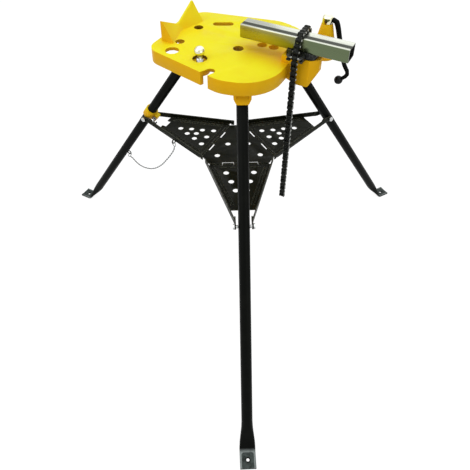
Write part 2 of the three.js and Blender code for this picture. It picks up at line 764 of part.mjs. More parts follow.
// Work bar held in the jaw: hollow rectangular bar
function workBar() {
  const half = BAR_WIDTH / 2;
  const section = roundedShape([
    [-half, BAR_BOTTOM, BAR_CORNER],
    [half, BAR_BOTTOM, BAR_CORNER],
    [half, BAR_TOP, BAR_CORNER],
    [-half, BAR_TOP, BAR_CORNER],
  ]);
  section.holes.push(roundedShape([
    [-half + BAR_WALL, BAR_BOTTOM + BAR_WALL, BAR_INNER_CORNER],
    [half - BAR_WALL, BAR_BOTTOM + BAR_WALL, BAR_INNER_CORNER],
    [half - BAR_WALL, BAR_TOP - BAR_WALL, BAR_INNER_CORNER],
    [-half + BAR_WALL, BAR_TOP - BAR_WALL, BAR_INNER_CORNER],
  ]));
  return prismYZ(section, BAR_START, BAR_START + BAR_LENGTH, 2);
}

addMesh("clamped_bar", workBar(), "steel");

// Vise chain: stacked inner links alternate with pairs of outer plates on riveted pins
function linkOutline(from, to) {
  const along = new THREE.Vector2(to[0] - from[0], to[1] - from[1]).normalize();
  const across = new THREE.Vector2(-along.y, along.x);
  const half = PLATE_HEIGHT / 2;
  const shape = new THREE.Shape();
  const thirds = [90, 30, -30, -90];
  const ends = [[to, 1], [from, -1]];
  ends.forEach(([pin, sense], end) => {
    thirds.forEach((degrees, i) => {
      const angle = THREE.MathUtils.degToRad(degrees);
      const u = sense * half * Math.cos(angle);
      const v = sense * half * Math.sin(angle);
      const x = pin[0] + u * along.x + v * across.x;
      const y = pin[1] + u * along.y + v * across.y;
      if (end === 0 && i === 0) shape.moveTo(x, y);
      else shape.lineTo(x, y);
    });
  });
  return shape;
}

function linkPlate(from, to, low, high) {
  return prismYZ(linkOutline(from, to), VISE_X + low, VISE_X + high);
}

function chainPin([y, z], from, to) {
  return rod([VISE_X + from, y, z], [VISE_X + to, y, z], PIN_RADIUS, 6);
}

function outerLink(from, to, inside) {
  const outside = INNER_HALF_WIDTH + CLEARANCE + OUTER_PLATE;
  return [linkPlate(from, to, inside, outside), linkPlate(from, to, -outside, -inside)];
}

function rivetHeads(pin) {
  const outside = INNER_HALF_WIDTH + CLEARANCE + OUTER_PLATE - CHAIN_OVERLAP;
  return [chainPin(pin, outside, PIN_REACH), chainPin(pin, -PIN_REACH, -outside)];
}

// The first and last links are free to turn on their end pins, so they are open there
function chainPiece(pins, firstIsInner, firstReach) {
  const kept = [];
  const removed = [];
  const fused = INNER_HALF_WIDTH - CHAIN_OVERLAP;
  const open = INNER_HALF_WIDTH + CLEARANCE;
  for (let i = 0; i + 1 < pins.length; i += 1) {
    const inner = i % 2 === 0 ? firstIsInner : !firstIsInner;
    const end = i === 0 || i + 2 === pins.length;
    if (inner) kept.push(linkPlate(pins[i], pins[i + 1], -INNER_HALF_WIDTH, INNER_HALF_WIDTH));
    else kept.push(...outerLink(pins[i], pins[i + 1], end ? open : fused));
  }
  pins.forEach((pin, i) => {
    const nearEnd = i <= 1 || i + 2 >= pins.length;
    if (i === 0 && firstIsInner) {
      const [y, z] = pin;
      const bore = PIN_RADIUS + PIN_CLEARANCE;
      removed.push(rod([VISE_X - PIN_REACH, y, z], [VISE_X + PIN_REACH, y, z], bore, 8));
    } else if (nearEnd) {
      const reach = i === 0 ? firstReach : PIN_REACH;
      kept.push(chainPin(pin, -reach, reach));
    } else {
      kept.push(...rivetHeads(pin));
    }
  });
  return carve(kept, removed);
}

addMesh("vise_chain_wrap", chainPiece(WRAP_PINS, false, LOCK_PIN_REACH), "iron");

let tailTop = LOCK_PIN;
TAIL_LINKS.forEach((links, i) => {
  const pins = [];
  for (let k = 0; k <= links; k += 1) {
    pins.push([tailTop[0], tailTop[1] - k * PITCH]);
  }
  addMesh(`vise_chain_tail_${i + 1}`, chainPiece(pins, true, PIN_REACH), "iron");
  tailTop = pins.at(-1);
});

// Carrier: a nut on the screw, under the arm, with a tongue that holds the far end of the chain
function chainCarrier() {
  const high = PLATE_BOTTOM - 2 * CLEARANCE;
  const low = high - CARRIER_HEIGHT;
  const middle = (low + high) / 2;
  const [pinY, pinZ] = ANCHOR_PIN;
  const root = [VISE_X, pinY + PLATE_HEIGHT + CHAIN_ROOM + CARRIER_RADIUS];
  const rising = slot([pinY, middle], [pinY, pinZ], PLATE_HEIGHT / 2);
  const lying = slot([pinY, middle], [root[1], middle], CARRIER_HEIGHT / 2);
  const kept = [
    prismXY(slot(root, [SCREW_X, SCREW_Y], CARRIER_RADIUS), low, high),
    prismYZ(rising, VISE_X - INNER_HALF_WIDTH, VISE_X + INNER_HALF_WIDTH, 4),
    prismYZ(lying, VISE_X - INNER_HALF_WIDTH, VISE_X + INNER_HALF_WIDTH, 4),
  ];
  const bore = SCREW_RADIUS + PIN_CLEARANCE;
  const eye = PIN_RADIUS + PIN_CLEARANCE;
  const removed = [
    rod([SCREW_X, SCREW_Y, low - CUT_MARGIN], [SCREW_X, SCREW_Y, high + CUT_MARGIN], bore, 20),
    rod([VISE_X - CHAIN_HALF, pinY, pinZ], [VISE_X + CHAIN_HALF, pinY, pinZ], eye, 8),
  ];
  return carve(kept, removed);
}

addMesh("chain_carrier", chainCarrier(), "iron");

// Crank: screw, hub, drop lever and ball, all on the screw's upright axis
const BOSS_TOP = TABLE_HEIGHT + BOSS_RISE;
const crank = new THREE.Group();
crank.position.set(SCREW_X, SCREW_Y, BOSS_TOP + CLEARANCE);
stand.add(crank);

function crankScrew() {
  const bottom = -BOSS_RISE - SCREW_TAIL;
  return spun([
    [0, bottom],
    [SCREW_RADIUS - SCREW_CHAMFER, bottom],
    [SCREW_RADIUS, bottom + SCREW_CHAMFER],
    [SCREW_RADIUS, -CLEARANCE],
    [0, -CLEARANCE],
  ], 20);
}

function crankHub() {
  return spun([
    [0, 0],
    [HUB_RADIUS, 0],
    [HUB_RADIUS, HUB_SIDE],
    HUB_SHOULDER,
    [HUB_FLAT, HUB_HEIGHT],
    [0, HUB_HEIGHT],
  ], 24);
}

// Lever: leaves the hub's side, drops, and hooks back to the ball, tapering all the way
function crankLever() {
  const ball = new THREE.Vector3(BALL_OUT, 0, -BALL_FALL);
  const [lastOut, lastRise] = LEVER_BENDS.at(-1);
  const back = new THREE.Vector3(lastOut, 0, lastRise).sub(ball).normalize();
  const end = ball.addScaledVector(back, BALL_RADIUS + CLEARANCE);
  const path = new THREE.CatmullRomCurve3([
    new THREE.Vector3(HUB_RADIUS + 2 * CLEARANCE, 0, HUB_HEIGHT / 2),
    ...LEVER_BENDS.map(([out, rise]) => new THREE.Vector3(out, 0, rise)),
    end,
  ]);
  return taperedTube(path, LEVER_HUB_RADIUS, LEVER_BALL_RADIUS, 18, 12);
}

addMesh("crank_screw", crankScrew(), "steel", crank);
addMesh("crank_hub", crankHub(), "chrome", crank);
addMesh("crank_lever", crankLever(), "black", crank);
const ball = addMesh("crank_ball", new THREE.SphereGeometry(BALL_RADIUS, 16, 10), "black", crank);
ball.position.set(BALL_OUT, 0, -BALL_FALL);

// Brace screw: rises through the table, with a round head
const brace = new THREE.Group();
brace.position.set(BRACE_X, BRACE_Y, TABLE_HEIGHT);
stand.add(brace);

function braceScrew() {
  const bottom = BRACE_NECK - BRACE_LENGTH;
  return spun([
    [0, bottom],
    [BRACE_RADIUS - BRACE_CHAMFER, bottom],
    [BRACE_RADIUS, bottom + BRACE_CHAMFER],
    [BRACE_RADIUS, 0],
    [BRACE_NECK_RADIUS, BRACE_CHAMFER],
    [BRACE_NECK_RADIUS, BRACE_NECK],
    [0, BRACE_NECK],
  ], 20);
}

function braceHead() {
  const low = BRACE_NECK + CLEARANCE;
  const profile = [[0, low], [BRACE_HEAD_FOOT, low]];
  const steps = 6;
  for (let i = 0; i <= steps; i += 1) {
    const angle = THREE.MathUtils.lerp(-BRACE_HEAD_UNDERCUT, Math.PI / 2, i / steps);
    const radius = i === steps ? 0 : BRACE_HEAD_RADIUS * Math.cos(angle);
    profile.push([radius, low + BRACE_HEAD_CENTRE + BRACE_HEAD_RADIUS * Math.sin(angle)]);
  }
  return spun(profile, 20);
}

addMesh("brace_screw", braceScrew(), "steel", brace);
addMesh("brace_head", braceHead(), "chrome", brace);

// Legs: round tubes flattened at the floor and bent outwards into drilled feet
const LEG_TO_FLOOR = (PIVOT_Z - FOOT_THICKNESS / 2) / Math.cos(LEG_SPLAY);

// A ring of the leg's section: round at share 0, a flat bar with rounded edges at share 1
function sectionRing(centre, across, share) {
  const halfWidth = THREE.MathUtils.lerp(LEG_RADIUS, FOOT_HALF_WIDTH, share);
  const halfThickness = THREE.MathUtils.lerp(LEG_RADIUS, FOOT_THICKNESS / 2, share);
  const power = THREE.MathUtils.lerp(2, FOOT_SQUARENESS, share);
  const swell = THREE.MathUtils.lerp(1, FOOT_FLATNESS, share);
  const ring = [];
  for (let i = 0; i < TUBE_SIDES; i += 1) {
    const angle = (2 * Math.PI * i) / TUBE_SIDES;
    const c = Math.cos(angle);
    const s = Math.sin(angle);
    const wide = halfWidth * Math.sign(c) * Math.abs(c) ** (2 / power);
    const thick = halfThickness * Math.sign(s) * Math.min(1, swell * Math.abs(s) ** (2 / power));
    ring.push(centre.clone().addScaledVector(across, thick).add(new THREE.Vector3(0, wide, 0)));
  }
  return ring;
}

function legTube() {
  const out = new THREE.Vector3(Math.cos(LEG_SPLAY), 0, Math.sin(LEG_SPLAY));
  const up = new THREE.Vector3(0, 0, 1);
  const turn = Math.PI / 2 - LEG_SPLAY;
  const tangent = FOOT_BEND_RADIUS * Math.tan(turn / 2);
  const straightEnd = LEG_TO_FLOOR - tangent;
  const rings = [sectionRing(onLeg(-LEG_TOP_OVERHANG), out, 0)];
  const flattenSteps = 4;
  for (let i = 0; i <= flattenSteps; i += 1) {
    const share = i / flattenSteps;
    const eased = share * share * (3 - 2 * share);
    const centre = onLeg(straightEnd - FLATTEN_LENGTH * (1 - share));
    rings.push(sectionRing(centre, out, eased));
  }
  const corner = onLeg(LEG_TO_FLOOR);
  const bendCentre = new THREE.Vector3(corner.x + tangent, 0, corner.z + FOOT_BEND_RADIUS);
  const bendSteps = 3;
  for (let i = 1; i <= bendSteps; i += 1) {
    const angle = LEG_SPLAY + turn * (i / bendSteps);
    const across = new THREE.Vector3(Math.cos(angle), 0, Math.sin(angle));
    const centre = bendCentre.clone().addScaledVector(across, -FOOT_BEND_RADIUS);
    rings.push(sectionRing(centre, across, 1));
  }
  const toe = new THREE.Vector3(corner.x + FOOT_LENGTH, 0, corner.z);
  rings.push(sectionRing(toe, up, 1));
  return loft(rings);
}

// Wire eye for a ring of the retaining chain, standing in the X-Z plane
function eyeLoop() {
  return new THREE.TorusGeometry(EYE_RADIUS, EYE_WIRE, 6, 14).rotateX(Math.PI / 2);
}

function legEye() {
  return onLeg(EYE_FROM_PIVOT, -LEG_RADIUS - EYE_RADIUS + EYE_WIRE);
}

function legBody(leg) {
  const kept = [legTube()];
  const bend = onLeg(LEG_TO_FLOOR).x;
  const holeX = bend + FOOT_LENGTH / 2;
  const dishFloor = FOOT_THICKNESS - FOOT_DISH_DEPTH;
  const dishHalf = FOOT_HALF_WIDTH - FOOT_LIP;
  const dish = roundedShape([
    [bend + FOOT_LIP, -dishHalf, FOOT_LIP],
    [bend + FOOT_LENGTH + OVERSHOOT, -dishHalf],
    [bend + FOOT_LENGTH + OVERSHOOT, dishHalf],
    [bend + FOOT_LIP, dishHalf, FOOT_LIP],
  ]);
  const sinkFloor = dishFloor - FOOT_DISH_DEPTH;
  const removed = [
    prismXY(dish, dishFloor, FOOT_THICKNESS + CUT_MARGIN, 3),
    rod([holeX, 0, sinkFloor], [holeX, 0, dishFloor], FOOT_HOLE_RADIUS, 16, FOOT_SINK_RADIUS),
    rod([holeX, 0, -CUT_MARGIN], [holeX, 0, FOOT_THICKNESS + CUT_MARGIN], FOOT_HOLE_RADIUS, 16),
    pinBore(LEG_RADIUS + CUT_MARGIN, LEG_PIN_RADIUS + CLEARANCE),
  ];
  if (leg === "rear") {
    kept.push(eyeLoop().translate(...legEye()));
  }
  return carve(kept, removed);
}

function legPin() {
  const { x, z } = onLeg(0);
  const seat = LEG_RADIUS + 2 * CLEARANCE + SOCKET_WALL + CLEARANCE;
  const end = seat + OVERSHOOT;
  const kept = [rod([x, -end, z], [x, end, z], LEG_PIN_RADIUS, 16)];
  for (const side of [-1, 1]) {
    const from = [x, side * seat, z];
    const to = [x, side * (seat + LEG_PIN_HEAD_THICKNESS), z];
    kept.push(rod(from, to, LEG_PIN_HEAD, 16));
  }
  return carve(kept);
}

for (const leg of Object.keys(LEG_AZIMUTHS)) {
  const place = new THREE.Group();
  place.rotation.z = azimuthOf(leg);
  stand.add(place);
  addMesh(`leg_${leg}`, legBody(leg), "black", place);
  addMesh(`leg_pin_${leg}`, legPin(), "steel", place);
}

// Tray: a centre plate and three wings on pinned knuckle hinges
function knuckles(spans, direction) {
  return spans.flatMap(([from, to]) => {
    const root = HINGE_RADIUS + direction * (HINGE_NOTCH + OVERSHOOT);
    const low = Math.min(root, HINGE_RADIUS);
    const high = Math.max(root, HINGE_RADIUS);
    return [
      rod([HINGE_RADIUS, from, HINGE_Z], [HINGE_RADIUS, to, HINGE_Z], KNUCKLE_RADIUS, 8),
      box([low, from, TRAY_HEIGHT - SHEET], [high, to, TRAY_HEIGHT]),
    ];
  });
}

// Cut-outs in a sheet's edge that leave room for the other sheet's knuckles
function knuckleNotches(spans, direction, depth) {
  return spans.map(([from, to]) => {
    const end = HINGE_RADIUS + direction * depth;
    return box(
      [Math.min(end, HINGE_RADIUS), from - KNUCKLE_GAP, TRAY_HEIGHT - SHEET - CUT_MARGIN],
      [Math.max(end, HINGE_RADIUS), to + KNUCKLE_GAP, TRAY_HEIGHT + CUT_MARGIN],
    );
  });
}

function hingeBore() {
  const half = WING_HALF_EDGE + CUT_MARGIN;
  const bore = HINGE_PIN_RADIUS + CLEARANCE;
  return rod([HINGE_RADIUS, -half, HINGE_Z], [HINGE_RADIUS, half, HINGE_Z], bore, 8);
}

function trayCentre() {
  const edge = HINGE_RADIUS - HINGE_GAP;
  const corners = [];
  for (const leg of Object.keys(LEG_AZIMUTHS)) {
    for (const side of [-CENTRE_HALF_EDGE, CENTRE_HALF_EDGE]) {
      const corner = new THREE.Vector2(edge, side);
      corner.rotateAround(new THREE.Vector2(), azimuthOf(leg));
      corners.push([corner.x, corner.y, CENTRE_CORNER_RADIUS]);
    }
  }
  const sheet = roundedShape(corners);
  for (const [radius, azimuth] of CENTRE_HOLES) {
    const angle = THREE.MathUtils.degToRad(azimuth);
    sheet.holes.push(circle(radius * Math.cos(angle), radius * Math.sin(angle), TRAY_HOLE_RADIUS));
  }
  const kept = [prismXY(sheet, TRAY_HEIGHT - SHEET, TRAY_HEIGHT)];
  const removed = [];
  for (const leg of Object.keys(LEG_AZIMUTHS)) {
    const turn = azimuthOf(leg);
    kept.push(...knuckles(CENTRE_KNUCKLES, -1).map((piece) => piece.rotateZ(turn)));
    const notches = knuckleNotches(WING_KNUCKLES, -1, HINGE_NOTCH);
    removed.push(hingeBore().rotateZ(turn), ...notches.map((piece) => piece.rotateZ(turn)));
  }
  return carve(kept, removed);
}

addMesh("tray_centre", trayCentre(), "black");

function wingHoles(leg) {
  const holes = [];
  for (const [x, y] of leg === "front_right" ? WING_HOLES_SIX : WING_HOLES_NINE) {
    const sides = y === 0 ? [0] : [-y, y];
    holes.push(...sides.map((side) => circle(x, side, TRAY_HOLE_RADIUS)));
  }
  return holes;
}

// Half the width of a wing at a distance from the table's axis
function wingHalf(radius) {
  const share = (radius - WING_ROOT) / (ARM_START - WING_ROOT);
  return THREE.MathUtils.lerp(WING_HALF_EDGE, WING_TIP_HALF, share);
}

// Wing of the tray: pierced sheet with upturned sides that run on as arms beside the leg.
// The rear one also has a notch that clears the collar's lug as the stand folds.
function trayWing(leg) {
  const start = HINGE_RADIUS + HINGE_GAP;
  const sheet = roundedShape([
    [start, -wingHalf(start)],
    [WING_TIP_RADIUS, -wingHalf(WING_TIP_RADIUS)],
    [WING_TIP_RADIUS, wingHalf(WING_TIP_RADIUS)],
    [start, wingHalf(start)],
  ]);
  sheet.holes.push(...wingHoles(leg));
  const low = TRAY_HEIGHT - SHEET;
  const kept = [prismXY(sheet, low, TRAY_HEIGHT), ...knuckles(WING_KNUCKLES, 1)];
  const removed = [
    hingeBore(),
    ...knuckleNotches(CENTRE_KNUCKLES, 1, KNUCKLE_RADIUS + KNUCKLE_GAP),
  ];
  const arm = slot([ARM_START - ARM_LAP, ARM_Z], [ARM_CENTRE, ARM_Z], ARM_END_RADIUS);
  const bore = BOLT_RADIUS + CLEARANCE;
  for (const side of [-1, 1]) {
    const flange = [
      [WING_ROOT, side * WING_HALF_EDGE],
      [ARM_START, side * WING_TIP_HALF],
      [ARM_START, side * (WING_TIP_HALF - SHEET)],
      [WING_ROOT, side * (WING_HALF_EDGE - SHEET)],
    ];
    const upright = roundedShape(side < 0 ? flange : flange.reverse());
    kept.push(prismXY(upright, low, TRAY_HEIGHT + FLANGE_HEIGHT));
    const from = Math.min(side * ARM_INSIDE, side * WING_TIP_HALF);
    kept.push(prismXZ(arm, from, from + ARM_THICKNESS, 4));
    const outside = side * (WING_TIP_HALF + CUT_MARGIN);
    removed.push(rod([ARM_CENTRE, side * LEG_RADIUS, ARM_Z], [ARM_CENTRE, outside, ARM_Z], bore, 12));
  }
  if (leg === "rear") {
    kept.push(eyeLoop().rotateZ(Math.PI / 2 - WING_EDGE_TURN).translate(...wingEye()));
    removed.push(box(
      [WING_TIP_RADIUS - LUG_NOTCH_DEPTH, -LUG_NOTCH_HALF, low - CUT_MARGIN],
      [WING_TIP_RADIUS + CUT_MARGIN, LUG_NOTCH_HALF, TRAY_HEIGHT + CUT_MARGIN],
    ));
  }
  return carve(kept, removed);
}

// The rear wing's eye stands out from the middle of its upturned side
function wingEye() {
  const out = EYE_RADIUS - SHEET / 2;
  return new THREE.Vector3(
    RING_ON_WING + out * Math.sin(WING_EDGE_TURN),
    wingHalf(RING_ON_WING) + out * Math.cos(WING_EDGE_TURN),
    TRAY_HEIGHT,
  );
}

function trayBolt(side) {
  const seat = WING_TIP_HALF + CLEARANCE;
  const from = [ARM_CENTRE, side * (LEG_RADIUS + CLEARANCE), ARM_Z];
  const shank = rod(from, [ARM_CENTRE, side * (seat + OVERSHOOT), ARM_Z], BOLT_RADIUS, 12);
  const headFrom = [ARM_CENTRE, side * seat, ARM_Z];
  const head = rod(headFrom, [ARM_CENTRE, side * (seat + BOLT_HEAD_THICKNESS), ARM_Z], BOLT_HEAD_RADIUS, 6);
  return carve([shank, head]);
}

function hingePin() {
  const half = CENTRE_KNUCKLES.at(-1)[1] + KNUCKLE_GAP;
  return rod([HINGE_RADIUS, -half, HINGE_Z], [HINGE_RADIUS, half, HINGE_Z], HINGE_PIN_RADIUS, 8);
}

for (const leg of Object.keys(LEG_AZIMUTHS)) {
  const place = new THREE.Group();
  place.rotation.z = azimuthOf(leg);
  stand.add(place);
  addMesh(`tray_wing_${leg}`, trayWing(leg), "black", place);
  addMesh(`tray_hinge_pin_${leg}`, hingePin(), "steel", place);
  addMesh(`tray_bolt_${leg}_a`, trayBolt(-1), "steel", place);
  addMesh(`tray_bolt_${leg}_b`, trayBolt(1), "steel", place);
}

// Collar clamped on the rear leg, with a bolted lug and a hook below it
const rear = new THREE.Group();
rear.rotation.z = azimuthOf("rear");
stand.add(rear);

// Turns a piece modelled down the -Z axis so that it follows the leg from a place on it
function alongLeg(geometry, down) {
  return geometry.rotateY(-LEG_SPLAY).translate(...onLeg(down));
}

function rearCollar() {
  const inner = LEG_RADIUS + CLEARANCE;
  const outer = inner + COLLAR_WALL;
  const ring = circle(0, 0, outer);
  ring.holes.push(circle(0, 0, inner));
  const lug = box(
    [-outer - COLLAR_LUG, -COLLAR_LUG_HALF, -COLLAR_LENGTH + COLLAR_LUG_INSET],
    [-inner - OVERSHOOT, COLLAR_LUG_HALF, -COLLAR_LUG_INSET],
  );
  const boltX = -outer - COLLAR_LUG / 2;
  const bore = rod(
    [boltX, -COLLAR_LUG_HALF - CUT_MARGIN, -COLLAR_LENGTH / 2],
    [boltX, COLLAR_LUG_HALF + CUT_MARGIN, -COLLAR_LENGTH / 2],
    COLLAR_BOLT_RADIUS + CLEARANCE,
    12,
  );
  return alongLeg(carve([prismXY(ring, -COLLAR_LENGTH, 0, 10), lug], [bore]), COLLAR_FROM_PIVOT);
}

function collarBolt() {
  const boltX = -LEG_RADIUS - CLEARANCE - COLLAR_WALL - COLLAR_LUG / 2;
  const seat = COLLAR_LUG_HALF + CLEARANCE;
  const level = -COLLAR_LENGTH / 2;
  const shankEnd = seat + OVERSHOOT;
  const kept = [rod([boltX, -shankEnd, level], [boltX, shankEnd, level], COLLAR_BOLT_RADIUS, 12)];
  for (const side of [-1, 1]) {
    const end = side * (seat + COLLAR_BOLT_HEAD_THICKNESS);
    kept.push(rod([boltX, side * seat, level], [boltX, end, level], COLLAR_BOLT_HEAD, 6));
  }
  return alongLeg(carve(kept), COLLAR_FROM_PIVOT);
}

function collarHook() {
  const top = -COLLAR_LENGTH + COLLAR_LUG_INSET - CLEARANCE;
  const lugX = -LEG_RADIUS - CLEARANCE - COLLAR_WALL - COLLAR_LUG / 2;
  const points = COLLAR_HOOK_BENDS.map(([out, rise]) => [lugX + out, 0, top + rise]);
  return alongLeg(tubeAlong(points, COLLAR_HOOK_WIRE, 10, 8), COLLAR_FROM_PIVOT);
}

addMesh("rear_collar", rearCollar(), "yellow", rear);
addMesh("collar_bolt", collarBolt(), "steel", rear);
addMesh("collar_hook", collarHook(), "black", rear);

// Retaining chain between the rear wing and the rear leg, with a split ring at each end
function hangingRing(eye, turn) {
  const wireZ = eye.z - EYE_RADIUS + EYE_WIRE + RING_WIRE + CLEARANCE;
  const ring = new THREE.TorusGeometry(RING_RADIUS, RING_WIRE, 6, 14);
  return ring.rotateX(Math.PI / 2).rotateZ(turn).translate(eye.x, eye.y, wireZ - RING_RADIUS);
}

addMesh("retainer_ring_wing", hangingRing(wingEye(), -WING_EDGE_TURN), "steel", rear);
addMesh("retainer_ring_leg", hangingRing(legEye(), Math.PI / 2), "steel", rear);
addMesh("retainer_chain", tubeAlong(RETAINER_ROUTE, RETAINER_RADIUS, 40, 8), "steel");

// The footprint is the box round the outer corners of the three toes
const TOE_RADIUS = onLeg(LEG_TO_FLOOR).x + FOOT_LENGTH;
const footprint = new THREE.Box2();
for (const leg of Object.keys(LEG_AZIMUTHS)) {
  for (const side of [-FOOT_HALF_WIDTH, FOOT_HALF_WIDTH]) {
    const corner = new THREE.Vector2(TOE_RADIUS, side);
    footprint.expandByPoint(corner.rotateAround(new THREE.Vector2(), azimuthOf(leg)));
  }
}
const middle = footprint.getCenter(new THREE.Vector2());
const placed = new THREE.Group();
placed.add(stand);
stand.position.set(-middle.x, -middle.y, 0);

export default placed;
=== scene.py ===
"""Looks of the tripod pipe vise stand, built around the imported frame. Metres, +Z up."""

import math

import bpy
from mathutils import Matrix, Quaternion, Vector


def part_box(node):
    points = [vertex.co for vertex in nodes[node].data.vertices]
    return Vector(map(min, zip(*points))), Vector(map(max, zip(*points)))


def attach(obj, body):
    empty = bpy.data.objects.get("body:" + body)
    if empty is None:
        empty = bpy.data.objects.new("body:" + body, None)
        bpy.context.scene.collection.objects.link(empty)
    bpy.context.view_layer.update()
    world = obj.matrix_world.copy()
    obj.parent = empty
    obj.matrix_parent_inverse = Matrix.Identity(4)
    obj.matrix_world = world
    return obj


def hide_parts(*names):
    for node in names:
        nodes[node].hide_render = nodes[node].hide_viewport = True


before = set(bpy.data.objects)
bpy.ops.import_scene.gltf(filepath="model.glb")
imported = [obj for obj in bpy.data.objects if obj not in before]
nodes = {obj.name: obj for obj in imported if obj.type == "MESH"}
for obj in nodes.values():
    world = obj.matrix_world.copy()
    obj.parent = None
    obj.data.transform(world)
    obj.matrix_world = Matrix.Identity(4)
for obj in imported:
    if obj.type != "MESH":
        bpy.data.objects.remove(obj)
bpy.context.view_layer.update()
scene = bpy.context.scene

# Places in the frame, from the crank's hub and the held bar
SCREW_FROM_AXIS = (0.180, 0.080)
VISE_FROM_AXIS = 0.155
hub_low, hub_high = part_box("crank_hub")
AXIS_X = (hub_low[0] + hub_high[0]) / 2 - SCREW_FROM_AXIS[0]
AXIS_Y = (hub_low[1] + hub_high[1]) / 2 - SCREW_FROM_AXIS[1]
VISE_X = AXIS_X + VISE_FROM_AXIS
bar_low, bar_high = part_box("clamped_bar")
BAR_TOP = bar_high[2]
BAR_MIDDLE = (BAR_TOP + bar_low[2]) / 2
BAR_HALF = (bar_high[1] - bar_low[1]) / 2

# Heights and directions that the part's source has too
TABLE_FACE = 0.770
PLATE_BOTTOM = 0.762
TRAY_TOP = 0.464
LEG_AZIMUTHS = {"front_right": -60, "front_left": 57, "rear": 180}

# Camera, as fitted to the photograph: places are from the foot of the table's axis
CAMERA_PLACE = (0.488126, -0.958571, 1.319286)
CAMERA_TARGET = (0, 0, 0.3752)
CAMERA_ROLL = 0.013
CAMERA_SENSOR = 36
CAMERA_LENS = 38.29
CAMERA_SHIFT = (-0.0062, -0.1354)


def from_axis(x, y, z):
    """A place that is given from the foot of the table's axis."""
    return Vector((AXIS_X + x, AXIS_Y + y, z))


def aim(obj, place, target):
    """Puts a camera or a lamp in its place, looking at its target."""
    obj.location = place
    obj.rotation_mode = "QUATERNION"
    obj.rotation_quaternion = (Vector(target) - Vector(place)).to_track_quat("-Z", "Y")


def make_camera():
    data = bpy.data.cameras.new("camera")
    data.sensor_width = CAMERA_SENSOR
    data.lens = CAMERA_LENS
    data.shift_x, data.shift_y = CAMERA_SHIFT
    camera = bpy.data.objects.new("camera", data)
    scene.collection.objects.link(camera)
    aim(camera, from_axis(*CAMERA_PLACE), from_axis(*CAMERA_TARGET))
    roll = Quaternion((0, 0, 1), CAMERA_ROLL)
    camera.rotation_quaternion = camera.rotation_quaternion @ roll
    scene.camera = camera


# Mesh helpers
SHARP_ANGLE = math.radians(38)
BEVEL_SEGMENTS = 2


def circle(radius, sides):
    """Points of a circle about 0, as (u, v)."""
    turns = [2 * math.pi * i / sides for i in range(sides)]
    return [(radius * math.cos(turn), radius * math.sin(turn)) for turn in turns]


def add_bevel(obj, width, angle):
    """Rounds the edges that turn by more than an angle."""
    bevel = obj.modifiers.new("edge", "BEVEL")
    bevel.width = width
    bevel.segments = BEVEL_SEGMENTS
    bevel.limit_method = "ANGLE"
    bevel.angle_limit = angle
    return bevel


class Pile:
    """Vertices and faces of one new piece, gathered part by part."""

    def __init__(self):
        self.points = []
        self.faces = []

    def rings(self, rings, closed=False):
        """A skin over rings of points: capped at both ends, or closed round into a loop."""
        sides = len(rings[0])
        count = len(rings)
        first = len(self.points)
        for ring in rings:
            self.points.extend(ring)
        for row in range(count if closed else count - 1):
            here = first + row * sides
            there = first + (row + 1) % count * sides
            for i in range(sides):
                j = (i + 1) % sides
                self.faces.append((here + i, here + j, there + j, there + i))
        if not closed:
            last = first + (count - 1) * sides
            self.faces.append(tuple(first + i for i in reversed(range(sides))))
            self.faces.append(tuple(last + i for i in range(sides)))

    def piece(self, name, material, body, replaced=None, edge=0.0):
        """The finished piece, riding on a body, in the place of a node if it replaces one."""
        mesh = bpy.data.meshes.new(name)
        mesh.from_pydata(self.points, [], self.faces)
        mesh.materials.append(material)
        mesh.polygons.foreach_set("use_smooth", [True] * len(mesh.polygons))
        mesh.set_sharp_from_angle(angle=SHARP_ANGLE)
        obj = bpy.data.objects.new(name, mesh)
        scene.collection.objects.link(obj)
        if edge:
            add_bevel(obj, edge, SHARP_ANGLE)
        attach(obj, body)
        if replaced:
            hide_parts(replaced)
        return obj


# Retaining chain: the route repeats the one in the part's source, from the table's axis
RETAINER_ROUTE = [
    (-0.1694, -0.0620, 0.4453),
    (-0.1706, -0.0620, 0.4360),
    (-0.1765, -0.0615, 0.4240),
    (-0.1860, -0.0605, 0.4080),
    (-0.1970, -0.0590, 0.3910),
    (-0.2090, -0.0570, 0.3740),
    (-0.2210, -0.0545, 0.3570),
    (-0.2340, -0.0515, 0.3415),
    (-0.2480, -0.0485, 0.3270),
    (-0.2630, -0.0455, 0.3140),
    (-0.2800, -0.0420, 0.3030),
    (-0.2990, -0.0375, 0.2940),
    (-0.3180, -0.0325, 0.2875),
    (-0.3370, -0.0260, 0.2835),
    (-0.3550, -0.0180, 0.2807),
    (-0.3710, -0.0095, 0.2789),
    (-0.3830, -0.0032, 0.2780),
    (-0.3925, 0.0000, 0.2776),
]
RETAINER_LENGTH = 0.310
RETAINER_WIDTH = 0.0048
RETAINER_PITCH = 0.0062
RETAINER_WIRE = 0.0009
LINK_STEPS = 14
WIRE_SIDES = 6


def even_points(line, count):
    """Points evenly spaced along a line of points, both ends included."""
    runs = [(b - a).length for a, b in zip(line, line[1:])]
    step = sum(runs) / count
    made = [line[0]]
    past = 0.0
    for a, b, run in zip(line, line[1:], runs):
        while len(made) < count and step * len(made) <= past + run:
            made.append(a.lerp(b, (step * len(made) - past) / run))
        past += run
    return made + [line[-1]]


def oval_link(pile, start, end, side):
    """One wire link from start to end, lying in the plane of its side direction."""
    along = (end - start).normalized()
    normal = along.cross(side)
    centre = (start + end) / 2
    half_width = RETAINER_WIDTH / 2 - RETAINER_WIRE
    straight = (end - start).length / 2 + RETAINER_WIRE - half_width
    rings = []
    for k in range(LINK_STEPS):
        turn = 2 * math.pi * (k + 0.5) / LINK_STEPS
        out = along * math.cos(turn) + side * math.sin(turn)
        middle = centre + along * math.copysign(straight, math.cos(turn)) + out * half_width
        rings.append([middle + out * u + normal * v for u, v in circle(RETAINER_WIRE, WIRE_SIDES)])
    pile.rings(rings, closed=True)


